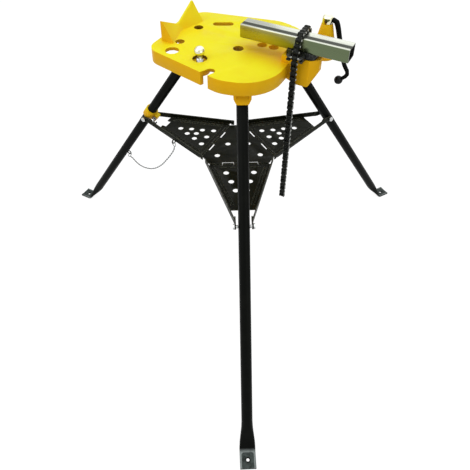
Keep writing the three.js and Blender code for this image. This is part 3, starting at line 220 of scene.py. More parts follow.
def retaining_chain(material):
    route = [from_axis(*place) for place in RETAINER_ROUTE]
    joints = even_points(route, round(RETAINER_LENGTH / RETAINER_PITCH))
    pile = Pile()
    for i, (start, end) in enumerate(zip(joints, joints[1:])):
        along = (end - start).normalized()
        level = along.cross(Vector((0, 1, 0))).normalized()
        oval_link(pile, start, end, level if i % 2 else along.cross(level))
    chain = pile.piece("retaining_chain", material, "leg_rear", "retainer_chain")


# Vise chain: laminated inner links between waisted outer plates, on domed rivets.
# A plate is (radius at its pins, half height at its waist), and pins are (y, z).
PITCH = 0.0127
INNER_PLATE = (0.0056, 0.0038)
OUTER_PLATE = (0.0049, 0.0035)
PLATE_ARC_STEPS = 8
WAIST_SHARES = (0.2, 0.35, 0.5, 0.65, 0.8)
INNER_HALF = 0.0044
OUTER_SPAN = (0.0047, 0.0064)
LAMINATIONS = 3
LAMINATION_GAP = 0.0003
CHAIN_EDGE = 0.00025
NEAR_LEAN = math.radians(22)
CORNER_OFFSET = 0.0081
NEAR_LINKS = 3
FAR_LINKS = 5
TAIL_LINKS = (10, 10, 12)

# Rivets: the dome is (distance below the tip, share of the radius)
RIVET_RADIUS = 0.0026
RIVET_SIDES = 12
RIVET_SINK = 0.0002
RIVET_DOME = ((0.0008, 0.94), (0.0003, 0.68), (0, 0.28))
RIVET_REACH = 0.0082
LOCK_PIN_REACH = 0.014
END_PIN_RADIUS = 0.0042


def plate_outline(radius, waist):
    """A waisted plate from the pin at 0 to the pin at PITCH, as (along, across) points."""
    outline = []
    for end, sense in ((PITCH, 1), (0.0, -1)):
        for i in range(PLATE_ARC_STEPS + 1):
            turn = math.radians(180 * i / PLATE_ARC_STEPS - 90)
            outline.append((end + sense * radius * math.cos(turn), sense * radius * math.sin(turn)))
        for share in WAIST_SHARES:
            half = radius - (radius - waist) * math.sin(math.pi * share) ** 2
            outline.append((end - sense * PITCH * share, sense * half))
    return outline


def add_plate(pile, start, end, shape, low, high):
    """A plate between two pins, from low to high across the chain."""
    along = (Vector(end) - Vector(start)).normalized()
    across = Vector((-along.y, along.x))
    flat = [Vector(start) + along * u + across * v for u, v in plate_outline(*shape)]
    pile.rings([[Vector((VISE_X + x, p.x, p.y)) for p in flat] for x in (low, high)])


def add_links(pile, pins, first_is_inner):
    """Inner links and pairs of outer plates by turns, from pin to pin."""
    width = (2 * INNER_HALF - LAMINATION_GAP * (LAMINATIONS - 1)) / LAMINATIONS
    starts = [k * (width + LAMINATION_GAP) - INNER_HALF for k in range(LAMINATIONS)]
    inner = [(low, low + width) for low in starts]
    outer = [OUTER_SPAN, (-OUTER_SPAN[1], -OUTER_SPAN[0])]
    for i, (start, end) in enumerate(zip(pins, pins[1:])):
        is_inner = (i % 2 == 0) == first_is_inner
        for low, high in inner if is_inner else outer:
            add_plate(pile, start, end, INNER_PLATE if is_inner else OUTER_PLATE, low, high)


def add_rivets(pile, pins, reach):
    """Domed rivet heads standing on the outer plates, or on the ends of a longer pin."""
    profile = [(OUTER_SPAN[1] - RIVET_SINK, RIVET_RADIUS)]
    profile += [(reach - below, RIVET_RADIUS * share) for below, share in RIVET_DOME]
    for y, z in pins:
        for sense in (-1, 1):
            rings = []
            for out, radius in profile:
                x = VISE_X + sense * out
                around = circle(radius, RIVET_SIDES)
                rings.append([Vector((x, y + u, z + sense * v)) for u, v in around])
            pile.rings(rings)


def add_end_pin(pile, pin):
    """The pin seen between the last two outer plates."""
    y, z = pin
    rings = []
    for x in (VISE_X - OUTER_SPAN[0], VISE_X + OUTER_SPAN[0]):
        rings.append([Vector((x, y + u, z + v)) for u, v in circle(END_PIN_RADIUS, RIVET_SIDES)])
    pile.rings(rings)


def wrap_pins():
    """Pins of the chain over the bar, from the lock pin to the carrier."""
    top = BAR_TOP + CORNER_OFFSET
    last = 1.5 * PITCH
    reach = math.hypot(last - BAR_HALF, CORNER_OFFSET)
    cosine = (reach ** 2 + CORNER_OFFSET ** 2 - PITCH ** 2) / (2 * reach * CORNER_OFFSET)
    turned = math.atan2(CORNER_OFFSET, last - BAR_HALF) - math.acos(cosine)
    corner_y = BAR_HALF + CORNER_OFFSET * math.cos(turned)
    corner_z = BAR_TOP + CORNER_OFFSET * math.sin(turned)
    near = []
    for i in range(NEAR_LINKS, 0, -1):
        run = i * PITCH
        near.append((-corner_y - run * math.sin(NEAR_LEAN), corner_z - run * math.cos(NEAR_LEAN)))
    flat = [(y, top) for y in (-last, -PITCH / 2, PITCH / 2, last)]
    over = [(-corner_y, corner_z), *flat, (corner_y, corner_z)]
    far = [(corner_y, corner_z - i * PITCH) for i in range(1, FAR_LINKS + 1)]
    return [(AXIS_Y + y, z) for y, z in near + over + far]


def vise_chain(material):
    pins = wrap_pins()
    wrap = Pile()
    add_links(wrap, pins, first_is_inner=False)
    add_rivets(wrap, pins[:1], LOCK_PIN_REACH)
    add_rivets(wrap, pins[1:], RIVET_REACH)
    wrap.piece("chain_wrap", material, "table", "vise_chain_wrap", CHAIN_EDGE)
    y, level = pins[0]
    for number, links in enumerate(TAIL_LINKS, 1):
        hanging = [(y, level - k * PITCH) for k in range(links + 1)]
        tail = Pile()
        add_links(tail, hanging, first_is_inner=True)
        add_rivets(tail, hanging[1:], RIVET_REACH)
        if number == len(TAIL_LINKS):
            add_end_pin(tail, hanging[-1])
        body = f"chain_tail_{number}"
        tail.piece(f"chain_end_{number}", material, body, f"vise_{body}", CHAIN_EDGE)
        level -= links * PITCH


# Cast bosses under the tool holes: (x, y, radius) from the table's axis
TOOL_HOLES = [
    (-0.131, 0.033, 0.012),
    (0.006, -0.018, 0.013),
    (0.047, 0.024, 0.012),
    (0.076, 0.026, 0.012),
]
BOSS_WALL = 0.004
BOSS_DEPTH = 0.009
BOSS_STEP = 0.0003
BOSS_SIDES = 40
BOSS_EDGE = 0.0006


def hole_bosses(material):
    foot = PLATE_BOTTOM - BOSS_DEPTH
    pile = Pile()
    for x, y, radius in TOOL_HOLES:
        bore = radius + BOSS_STEP
        skirt = radius + BOSS_WALL
        rings = []
        for reach, z in ((bore, PLATE_BOTTOM), (skirt, PLATE_BOTTOM), (skirt, foot), (bore, foot)):
            rings.append([from_axis(x + u, y + v, z) for u, v in circle(reach, BOSS_SIDES)])
        pile.rings(rings, closed=True)
    pile.piece("hole_bosses", material, "table", edge=BOSS_EDGE)


# Screw threads: crests at the CAD radius, cut inwards
THREAD_PITCH = 0.0025
THREAD_DEPTH = 0.0011
THREAD_STEPS = 6
THREAD_SIDES = 20
SCREW_CHAMFER = 0.002
BRACE_NECK_RADIUS = 0.006


def thread_shares(step):
    """How deep the thread is cut at each side of a screw, from 0 to 1, some steps up its helix."""
    shares = []
    for i in range(THREAD_SIDES):
        turn = 2 * math.pi * (step / THREAD_STEPS - i / THREAD_SIDES)
        shares.append((1 - math.cos(turn)) / 2)
    return shares


def threaded_screw(name, node, body, top, neck, material):
    """A screw threaded from its foot to a height, then plain rings given as (radius, height)."""
    low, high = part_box(node)
    x = (low[0] + high[0]) / 2
    y = (low[1] + high[1]) / 2
    radius = (high[0] - low[0]) / 2
    rise = THREAD_PITCH / THREAD_STEPS
    around = circle(1, THREAD_SIDES)
    rings = []
    for step in range(int((top - low[2]) / rise) + 1):
        crest = radius - SCREW_CHAMFER + step * rise
        reaches = [min(crest, radius - THREAD_DEPTH * share) for share in thread_shares(step)]
        z = low[2] + step * rise
        rings.append([Vector((x + r * u, y + r * v, z)) for r, (u, v) in zip(reaches, around)])
    for reach, z in neck:
        rings.append([Vector((x + reach * u, y + reach * v, z)) for u, v in around])
    pile = Pile()
    pile.rings(rings)
    pile.piece(name, material, body, node)


def screw_threads(material):
    crank_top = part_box("crank_screw")[1][2]
    threaded_screw("crank_thread", "crank_screw", "crank", crank_top, [], material)
    brace_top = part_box("brace_screw")[1][2]
    neck = [(BRACE_NECK_RADIUS, TABLE_FACE + SCREW_CHAMFER), (BRACE_NECK_RADIUS, brace_top)]
    threaded_screw("brace_thread", "brace_screw", "brace", TABLE_FACE, neck, material)


# Pressed beads of the tray's wings: places are (out, across) from the table's axis
WING_ROOT = (0.060, 0.091)
WING_END = (0.284, 0.0215)
BEAD_INSETS = (0.011, 0.018)
BEAD_RUN = (0.084, 0.226)
HINGE_BEAD_OUT = 0.084
HINGE_BEAD_HALF = 0.055
BEAD_HALF = 0.0021
BEAD_RISE = 0.0016
BEAD_TAPER = 0.006
BEAD_END_SHARE = 0.2
BEAD_PROFILE = [(1, -0.15), (0.6, 0.75), (0, 1), (-0.6, 0.75), (-1, -0.15)]


def add_bead(pile, turn, start, end):
    """A low rounded bead on the sheet of the wing at a turn, tapered at both ends."""
    length = (Vector(end) - Vector(start)).length
    along = (Vector(end) - Vector(start)) / length
    across = Vector((-along.y, along.x))
    runs = (0, BEAD_TAPER, length - BEAD_TAPER, length)
    shares = (BEAD_END_SHARE, 1, 1, BEAD_END_SHARE)
    rings = []
    for run, share in zip(runs, shares):
        middle = Vector(start) + along * run
        ring = []
        for aside, rise in BEAD_PROFILE:
            flat = middle + across * aside * BEAD_HALF * share
            x = flat.x * math.cos(turn) - flat.y * math.sin(turn)
            y = flat.x * math.sin(turn) + flat.y * math.cos(turn)
            ring.append(from_axis(x, y, TRAY_TOP + rise * BEAD_RISE * share))
        rings.append(ring)
    pile.rings(rings)


def wing_beads(material):
    slope = (WING_END[1] - WING_ROOT[1]) / (WING_END[0] - WING_ROOT[0])
    halves = [WING_ROOT[1] + slope * (out - WING_ROOT[0]) for out in BEAD_RUN]
    for leg, azimuth in LEG_AZIMUTHS.items():
        turn = math.radians(azimuth)
        pile = Pile()
        for inset in BEAD_INSETS:
            aside = inset * math.hypot(1, slope)
            for side in (-1, 1):
                ends = [(out, side * (half - aside)) for out, half in zip(BEAD_RUN, halves)]
                add_bead(pile, turn, *ends)
        add_bead(pile, turn, (HINGE_BEAD_OUT, -HINGE_BEAD_HALF), (HINGE_BEAD_OUT, HINGE_BEAD_HALF))
        pile.piece(f"wing_beads_{leg}", material, f"wing_{leg}")


# Material helpers
LOOK_SAMPLES = 6
FLAT_COSINE = 0.985
SHARP_COSINE = 0.86


class Shader:
    """A Principled material with a few short ways to add and link nodes."""

    def __init__(self, name, colour, roughness, metallic=0.0, specular=0.5):
        self.material = bpy.data.materials.new(name)
        self.material.use_nodes = True
        self.tree = self.material.node_tree
        self.main = self.tree.nodes["Principled BSDF"]
        self.set("Base Color", colour)
        self.set("Roughness", roughness)
        self.set("Metallic", metallic)
        self.set("Specular IOR Level", specular)
        self.coords = self.node("ShaderNodeTexCoord").outputs["Object"]

    def feed(self, socket, value):
        """A constant, or the output of another node, into a socket."""
        if isinstance(value, bpy.types.NodeSocket):
            self.tree.links.new(value, socket)
        elif isinstance(value, tuple) and len(value) == 3 and socket.type == "RGBA":
            socket.default_value = (*value, 1)
        else:
            socket.default_value = value

    def set(self, name, value):
        """A constant, or the output of another node, into the main shader."""
        self.feed(self.main.inputs[name], value)

    def node(self, kind, inputs=None, **settings):
        made = self.tree.nodes.new(kind)
        for key, value in settings.items():
            setattr(made, key, value)
        for key, value in (inputs or {}).items():
            self.feed(made.inputs[key], value)
        return made

    def calc(self, operation, first, second=0.0):
        made = self.node("ShaderNodeMath", {0: first, 1: second}, operation=operation)
        return made.outputs[0]

    def plus(self, first, second):
        return self.calc("ADD", first, second)

    def minus(self, first, second):
        return self.calc("SUBTRACT", first, second)

    def times(self, first, second):
        return self.calc("MULTIPLY", first, second)

    def absolute(self, value):
        return self.calc("ABSOLUTE", value)

    def mix(self, share, first, second):
        """The first colour where the share is 0, the second where it is 1."""
        inputs = {"Factor": share, "A": first, "B": second}
        return self.node("ShaderNodeMix", inputs, data_type="RGBA").outputs["Result"]

    def span(self, value, low, high, least=0.0, most=1.0):
        """A value between low and high, carried smoothly to between least and most."""
        inputs = {"Value": value, "From Min": low, "From Max": high, "To Min": least, "To Max": most}
        made = self.node("ShaderNodeMapRange", inputs, interpolation_type="SMOOTHSTEP")
        return made.outputs["Result"]

    def stretched(self, scale):
        """Coordinates on the object, scaled along each axis."""
        inputs = {"Vector": self.coords, "Scale": scale}
        return self.node("ShaderNodeMapping", inputs).outputs["Vector"]

    def noise(self, scale, detail, rough=0.55, vector=None):
        inputs = {
            "Vector": vector or self.coords,
            "Scale": scale,
            "Detail": detail,
            "Roughness": rough,
        }
        return self.node("ShaderNodeTexNoise", inputs).outputs["Fac"]

    def speckle(self, scale, detail, low=0.3, high=0.7, least=0.0, most=1.0):
        """Noise between low and high, carried to between least and most."""
        return self.span(self.noise(scale, detail), low, high, least, most)

    def axis(self, name, vector=None):
        made = self.node("ShaderNodeSeparateXYZ", {"Vector": vector or self.coords})
        return made.outputs[name]

    def facing(self):
        """The surface's own direction on the object, before any bump."""
        return self.node("ShaderNodeTexCoord").outputs["Normal"]

    def edges(self, radius):
        """1 on sharp edges, 0 on flats."""
        rounded = self.node("ShaderNodeBevel", {"Radius": radius}, samples=LOOK_SAMPLES)
        plain = self.node("ShaderNodeNewGeometry")
        inputs = {0: rounded.outputs["Normal"], 1: plain.outputs["Normal"]}
        cosine = self.node("ShaderNodeVectorMath", inputs, operation="DOT_PRODUCT")
        return self.span(cosine.outputs["Value"], FLAT_COSINE, SHARP_COSINE)

    def hollows(self, distance, clear=0.55, shut=0.15, most=1.0):
        """Up to its most in creases and corners, and 0 in the open."""
        inputs = {"Distance": distance}
        shade = self.node("ShaderNodeAmbientOcclusion", inputs, samples=LOOK_SAMPLES)
        return self.span(shade.outputs["AO"], clear, shut, most=most)

    def bump(self, height, strength, distance, below=None):
        inputs = {"Strength": strength, "Distance": distance, "Height": height}
        if below is not None:
            inputs["Normal"] = below
        return self.node("ShaderNodeBump", inputs).outputs["Normal"]


# Colours
# Painted light and shade of the yellow paint: the first is its lit lemon on faces turned up, the
# second its deeper gold as painted shade
YELLOW = (0.90, 0.82, 0.012)
YELLOW_SHADED = (0.92, 0.49, 0.003)
YELLOW_BLOTCH = (0.84, 0.58, 0.008)
PRIMER = (0.22, 0.14, 0.05)
# Darker brown in corners, part grime and part painted shade
GRIME_AND_SHADE = (0.10, 0.055, 0.008)
# Painted shade on shaded upright walls below the table's face, as in its holes
HOLE_WALL_SHADE = (0.11, 0.065, 0.005)
BLACK = (0.0032, 0.0038, 0.0030)
BLACK_DUST = (0.0085, 0.0095, 0.0072)
BLACK_NICK = (0.11, 0.11, 0.105)
# Feet: bare metal lips that are also painted lighter as a highlight, and a painted shade in the dish
FOOT_BARE_AND_LIT = (0.17, 0.19, 0.185)
FOOT_DISH_SHADE = (0.045, 0.055, 0.052)
TRAY_BLACK = (0.0052, 0.0062, 0.0031)
TRAY_DUST = (0.0155, 0.0172, 0.0075)
# Rubbed edges of the tray, also painted lighter as a highlight
TRAY_RUBBED_AND_HIGHLIT = (0.20, 0.21, 0.165)
IRON = (0.03, 0.031, 0.031)
IRON_DARK = (0.012, 0.013, 0.013)
IRON_PALE = (0.045, 0.048, 0.044)
IRON_RUBBED = (0.26, 0.27, 0.25)
CHAIN = (0.03, 0.031, 0.03)
CHAIN_DARK = (0.005, 0.006, 0.005)
CHAIN_PALE = (0.020, 0.022, 0.018)
# Rubbed chain edges also painted lighter as a highlight, and a painted glint on the rivet ends
CHAIN_RUBBED_AND_HIGHLIT = (0.18, 0.18, 0.17)
CHAIN_RIVET_GLINT = (0.42, 0.43, 0.40)
BAR = (0.34, 0.35, 0.33)
BAR_DULL = (0.38, 0.40, 0.34)
BAR_BRIGHT = (0.54, 0.56, 0.49)
# A painted dark reflection band along the bar's top and bottom
BAR_DARK_REFLECTION = (0.04, 0.045, 0.035)
# The bar's sides: a painted reflection of the yellow table, and the darker side colour further out
BAR_SIDE_TABLE_REFLECTION = (0.50, 0.43, 0.15)
BAR_SIDE_DARK = (0.13, 0.165, 0.09)
BAR_SMEAR = (0.10, 0.12, 0.07)
# Painted shade inside the bar and on its cut ends
BAR_INSIDE_SHADE = (0.008, 0.008, 0.007)
STEEL_DULL = (0.46, 0.47, 0.47)
STEEL_BRIGHT = (0.62, 0.63, 0.63)
WIRE_DULL = (0.24, 0.25, 0.25)
WIRE_BRIGHT = (0.36, 0.37, 0.37)
TARNISH = (0.12, 0.11, 0.10)
CHROME = (0.74, 0.72, 0.52)
CHROME_CLEAN = (0.76, 0.73, 0.52)
CHROME_SMEAR = (0.58, 0.56, 0.38)
# Painted reflection of the yellow table, with painted shade, in the chrome's hollows
CHROME_HOLLOW_REFLECTION = (0.12, 0.10, 0.02)
BALL = (0.005, 0.0055, 0.006)
BALL_RUBBED = (0.015, 0.015, 0.015)

# Places where a look changes, as the two values between which it does so
# Heights above which faces turned up get the yellow's painted lit lemon
LIT_ON_TABLE = (0.740, 0.760)
LIT_ON_COLLAR = (0.300, 0.320)
BELOW_FACE = (TABLE_FACE + 0.0004, TABLE_FACE - 0.0006)
# Where the painted shade in the tool holes gets lighter, near the vise
LIGHTER_HOLES = (AXIS_X + 0.021, AXIS_X + 0.033)
FOOT_WEAR = (0.014, 0.007)
FOOT_DISH = (0.0061, 0.0053)
FOOT_SINK = (0.0048, 0.0038)
RIVET_HEADS = (OUTER_SPAN[1] + 0.0001, OUTER_SPAN[1] + 0.0004)
BAR_OUTER_END = (VISE_X - 0.10, VISE_X + 0.03)
BAR_INSIDE = (0.006, 0.001)
# Half width of the bar's painted dark reflection band
REFLECTION_BAND_HALF = (0.0085, 0.0050)

# Directions in which a look changes, as the two cosines between which it does so
FACING_UP = (0.25, 0.85)
FACING_OUT = (0.5, 0.2)
FACING_SIDEWAYS = (0.5, 0.95)

# Where the bar's painted dark reflection band lies across it, how dark it is, and how bare the feet
# are rubbed
REFLECTION_BAND_ASIDE = 0.008
REFLECTION_BAND_DEPTH = 0.92
FOOT_METALLIC = 0.6


def yellow_lit_and_shaded(look, tilt, lit_between):
    """Yellow with painted light: paler lemon where it faces up in the open, painted as if lit, and
    deeper gold elsewhere as painted shade; with blotches.
    """
    # Painted light: faces turned up, high and in the open, get the lit lemon; the rest gets deeper
    # gold as painted shade
    high = look.span(look.axis("Z"), *lit_between)
    unshaded = look.minus(1.0, look.hollows(distance=0.07, clear=0.95, shut=0.45))
    lit_upward = look.times(look.span(tilt, *FACING_UP), look.times(high, unshaded))
    coat = look.mix(lit_upward, YELLOW_SHADED, YELLOW)
    blotches = look.speckle(scale=14, detail=4, low=0.45, high=0.75, most=0.3)
    return look.mix(blotches, coat, YELLOW_BLOTCH)


def hole_wall_shade(look, tilt):
    """How much painted shade the shaded upright walls get below the face, as in its holes: less near
    the vise.
    """
    below = look.span(look.axis("Z"), *BELOW_FACE, most=0.9)
    upright = look.times(below, look.span(look.absolute(tilt), *FACING_OUT))
    lighter = look.span(look.axis("X"), *LIGHTER_HOLES, least=1.0, most=0.2)
    shaded = look.hollows(distance=0.03, clear=0.85, shut=0.55)
    return look.times(look.times(upright, lighter), shaded)


def yellow_enamel(name, lit_between):
    """Gloss enamel over a sand casting: chipped edges, grime and painted shade in corners, tool holes
    darkened with painted shade.
    """
    look = Shader(name, YELLOW, roughness=0.42, specular=0.1)
    tilt = look.axis("Z", look.facing())
    coat = yellow_lit_and_shaded(look, tilt, lit_between)
    flakes = look.speckle(scale=160, detail=4, low=0.56, high=0.66, most=0.5)
    chipped = look.mix(look.times(look.edges(radius=0.0012), flakes), coat, PRIMER)
    smuts = look.speckle(scale=60, detail=3, least=0.55, most=0.85)
    # Corners and creases darkened, part grime and part painted shade
    grimy_and_shaded = look.mix(look.times(look.hollows(distance=0.02), smuts), chipped, GRIME_AND_SHADE)
    # Painted shade on the shaded upright walls below the face
    look.set("Base Color", look.mix(hole_wall_shade(look, tilt), grimy_and_shaded, HOLE_WALL_SHADE))
    look.set("Roughness", look.speckle(scale=90, detail=3, least=0.34, most=0.5))
    sand = look.noise(scale=420, detail=3, rough=0.6)
    grain = look.bump(sand, strength=0.16, distance=0.0006)
    waves = look.noise(scale=55, detail=2)
    look.set("Normal", look.bump(waves, strength=0.10, distance=0.0015, below=grain))
    return look.material


def foot_wear_and_relief_light(look, paint):
    """Paint rubbed off the flattened feet, with painted light for their relief: bare and lighter on
    top, a painted shade in the dish, black painted shade below it.
    """
    height = look.axis("Z")
    patches = look.speckle(scale=70, detail=4, low=0.2, high=0.55)
    rubbed = look.times(look.span(height, *FOOT_WEAR), patches)
    # Painted light for the feet's relief: lips lighter, the dish and the sink below it darker
    dish = look.mix(look.span(height, *FOOT_DISH), FOOT_BARE_AND_LIT, FOOT_DISH_SHADE)
    bare = look.mix(look.span(height, *FOOT_SINK), dish, BLACK)
    look.set("Metallic", look.times(rubbed, FOOT_METALLIC))
    return look.mix(rubbed, paint, bare)


def black_enamel(name, worn_feet=False):
    """Semi-gloss black paint on drawn tube, nicked at the edges."""
    look = Shader(name, BLACK, roughness=0.34, specular=0.045)
    dust = look.speckle(scale=30, detail=4, low=0.45, high=0.8, most=0.4)
    flakes = look.speckle(scale=240, detail=3, low=0.55, high=0.68, most=0.4)
    nicks = look.times(look.edges(radius=0.001), flakes)
    paint = look.mix(nicks, look.mix(dust, BLACK, BLACK_DUST), BLACK_NICK)
    look.set("Base Color", foot_wear_and_relief_light(look, paint) if worn_feet else paint)
    look.set("Roughness", look.speckle(scale=120, detail=3, least=0.28, most=0.44))
    peel = look.bump(look.noise(scale=520, detail=2), strength=0.06, distance=0.0004)
    scratches = look.noise(scale=1, detail=2, vector=look.stretched((900, 900, 14)))
    look.set("Normal", look.bump(scratches, strength=0.03, distance=0.0003, below=peel))
    return look.material


def tray_black():
    """Thicker olive-black coat on stamped sheet: slight texture, rubbed at the pressed edges, which
    are also painted lighter as a highlight.
    """
    look = Shader("tray_black", TRAY_BLACK, roughness=0.4, specular=0.06)
    dust = look.speckle(scale=24, detail=4, low=0.4, high=0.75, most=0.6)
    patches = look.speckle(scale=190, detail=3, low=0.4, high=0.6, least=0.3, most=0.9)
    # Edges lighter from rubbing and from a painted highlight
    rubbed = look.times(look.edges(radius=0.0022), patches)
    look.set("Base Color", look.mix(rubbed, look.mix(dust, TRAY_BLACK, TRAY_DUST), TRAY_RUBBED_AND_HIGHLIT))
    look.set("Roughness", look.speckle(scale=140, detail=3, least=0.30, most=0.5))
    texture = look.noise(scale=700, detail=2)
    look.set("Normal", look.bump(texture, strength=0.12, distance=0.0004))
    return look.material


def dark_iron():
    """Oiled dark steel: blued mottling, bright on rubbed edges."""
    look = Shader("dark_iron", IRON, roughness=0.42, metallic=0.85)
    mottling = look.speckle(scale=180, detail=4, low=0.35, high=0.7)
    patches = look.speckle(scale=300, detail=3, low=0.4, high=0.6, least=0.2, most=0.9)
    rubbed = look.times(look.edges(radius=0.0008), patches)
    look.set("Base Color", look.mix(rubbed, look.mix(mottling, IRON_DARK, IRON_PALE), IRON_RUBBED))
    look.set("Roughness", look.speckle(scale=240, detail=3, least=0.32, most=0.55))
    grain = look.noise(scale=600, detail=3)
    look.set("Normal", look.bump(grain, strength=0.14, distance=0.0004))
    return look.material


def chain_steel():
    """Dark plates, their rubbed edges also painted lighter as a highlight, and rivet ends painted
    brighter as a glint, told apart by their place across the chain.
    """
    look = Shader("chain_steel", CHAIN, roughness=0.4, metallic=0.9)
    mottling = look.speckle(scale=260, detail=4, low=0.35, high=0.7)
    patches = look.speckle(scale=380, detail=3, low=0.4, high=0.6, least=0.15, most=0.8)
    # Edges lighter from rubbing and from a painted highlight
    rubbed = look.times(look.edges(radius=0.0006), patches)
    plates = look.mix(rubbed, look.mix(mottling, CHAIN_DARK, CHAIN_PALE), CHAIN_RUBBED_AND_HIGHLIT)
    across = look.absolute(look.minus(look.axis("X"), VISE_X))
    # A painted glint on the rivet ends
    heads = look.span(across, *RIVET_HEADS, most=0.8)
    look.set("Base Color", look.mix(heads, plates, CHAIN_RIVET_GLINT))
    look.set("Roughness", look.speckle(scale=300, detail=3, least=0.28, most=0.5))
    grain = look.noise(scale=800, detail=3)
    look.set("Normal", look.bump(grain, strength=0.12, distance=0.0003))
    return look.material


def bar_sides(look):
    """The bar's sides: darker and greenish, with smears, and a painted reflection of the yellow table
    where the bar lies over the table.
    """
    # Painted reflection of the yellow table on the sides over the table
    outer_end = look.span(look.axis("X"), *BAR_OUTER_END)
    side_tone = look.mix(outer_end, BAR_SIDE_TABLE_REFLECTION, BAR_SIDE_DARK)
    smears = look.noise(scale=9, detail=4, vector=look.stretched((0.5, 3, 3)))
    return look.mix(look.span(smears, low=0.35, high=0.75, most=0.5), side_tone, BAR_SMEAR)


def bar_inside(look, facing, across):
    """1 inside the bar, where walls face its middle, and on its cut ends, and 0 outside."""
    out_y = look.times(look.axis("Y", facing), across)
    out_z = look.times(look.axis("Z", facing), look.minus(look.axis("Z"), BAR_MIDDLE))
    return look.span(look.plus(out_y, out_z), *BAR_INSIDE)


def drawn_steel():
    """Drawn hollow bar: bright top and bottom with a painted dark reflection band along them, darker
    sides, and painted shade inside and on its cut ends.
    """
    look = Shader("drawn_steel", BAR, roughness=0.22, metallic=1.0)
    facing = look.facing()
    across = look.minus(look.axis("Y"), AXIS_Y)
    lines = look.noise(scale=1, detail=3, vector=look.stretched((3, 900, 900)))
    bright = look.mix(look.span(lines, low=0.3, high=0.7), BAR_DULL, BAR_BRIGHT)
    # A painted dark reflection band along the top and bottom
    dark_reflection_band = look.span(look.absolute(look.plus(across, REFLECTION_BAND_ASIDE)), *REFLECTION_BAND_HALF)
    banded = look.mix(look.times(dark_reflection_band, REFLECTION_BAND_DEPTH), bright, BAR_DARK_REFLECTION)
    sideways = look.span(look.absolute(look.axis("Y", facing)), *FACING_SIDEWAYS)
    outside = look.mix(sideways, banded, bar_sides(look))
    # Painted shade inside the bar and on its cut ends
    scale = bar_inside(look, facing, across)
    look.set("Base Color", look.mix(scale, outside, BAR_INSIDE_SHADE))
    # The painted shade and the painted dark reflection band are dull, not metallic, with little shine
    dull = look.calc("MAXIMUM", scale, dark_reflection_band)
    look.set("Metallic", look.minus(1.0, dull))
    look.set("Specular IOR Level", look.span(dull, low=0.0, high=1.0, least=0.5, most=0.05))
    bands = look.noise(scale=5, detail=4, vector=look.stretched((1, 6, 6)))
    look.set("Roughness", look.span(bands, low=0.3, high=0.7, least=0.16, most=0.32))
    look.set("Normal", look.bump(lines, strength=0.05, distance=0.0002))
    look.set("Anisotropic", 0.4)
    return look.material


def bright_steel(name, dull, bright):
    """Plated fasteners and wire: fine grain, slight tarnish in the corners."""
    look = Shader(name, bright, roughness=0.28, metallic=1.0)
    tone = look.mix(look.speckle(scale=220, detail=3), dull, bright)
    look.set("Base Color", look.mix(look.hollows(distance=0.004, most=0.6), tone, TARNISH))
    look.set("Roughness", look.speckle(scale=300, detail=3, least=0.2, most=0.38))
    grain = look.noise(scale=900, detail=2)
    look.set("Normal", look.bump(grain, strength=0.05, distance=0.0002))
    return look.material


def chrome():
    """Polished chrome with faint handling smears, and an olive-brown painted reflection of the yellow
    table with painted shade in its hollows.
    """
    look = Shader("chrome", CHROME, roughness=0.08, metallic=1.0)
    smears = look.speckle(scale=60, detail=3, low=0.4, high=0.8, most=0.5)
    tone = look.mix(smears, CHROME_CLEAN, CHROME_SMEAR)
    # Painted shade and painted reflection in the hollows
    shaded = look.hollows(distance=0.02, clear=0.8, shut=0.4, most=0.9)
    look.set("Base Color", look.mix(shaded, tone, CHROME_HOLLOW_REFLECTION))
    smudges = look.speckle(scale=140, detail=4, low=0.35, high=0.75, least=0.05, most=0.18)
    look.set("Roughness", smudges)
    ripples = look.noise(scale=500, detail=2)
    look.set("Normal", look.bump(ripples, strength=0.02, distance=0.0002))
    return look.material


def ball_black():
    """Moulded gloss knob with fine rub marks."""
    look = Shader("ball_black", BALL, roughness=0.2, specular=0.14)
    marks = look.speckle(scale=90, detail=3, low=0.45, high=0.8, most=0.5)
    look.set("Base Color", look.mix(marks, BALL, BALL_RUBBED))
    look.set("Roughness", look.speckle(scale=200, detail=4, low=0.35, high=0.7, least=0.12, most=0.3))
    ripples = look.noise(scale=400, detail=2)
    look.set("Normal", look.bump(ripples, strength=0.03, distance=0.0003))
    return look.material


# Carried-over nodes: weld, join flat facets, round the edges, shade smooth
WELD_DISTANCE = 0.00002
FLAT_ANGLE = math.radians(0.4)
EDGE_ANGLE = math.radians(35)


def dress(name, material, edge=0.0006):
    obj = nodes[name]
    obj.data.materials.clear()
    obj.data.materials.append(material)
    obj.data.polygons.foreach_set("use_smooth", [True] * len(obj.data.polygons))
    weld = obj.modifiers.new("weld", "WELD")
    weld.merge_threshold = WELD_DISTANCE
    flat = obj.modifiers.new("flat", "DECIMATE")
    flat.decimate_type = "DISSOLVE"
    flat.angle_limit = FLAT_ANGLE
    add_bevel(obj, edge, EDGE_ANGLE).harden_normals = True


make_camera()

steel = bright_steel("bright_steel", STEEL_DULL, STEEL_BRIGHT)
wire = bright_steel("wire_steel", WIRE_DULL, WIRE_BRIGHT)
retaining_chain(wire)
vise_chain(chain_steel())

table_yellow = yellow_enamel("table_yellow", LIT_ON_TABLE)
collar_yellow = yellow_enamel("collar_yellow", LIT_ON_COLLAR)
leg_black = black_enamel("leg_black", worn_feet=True)
part_black = black_enamel("part_black")
sheet_black = tray_black()
vise_iron = dark_iron()
bright_chrome = chrome()

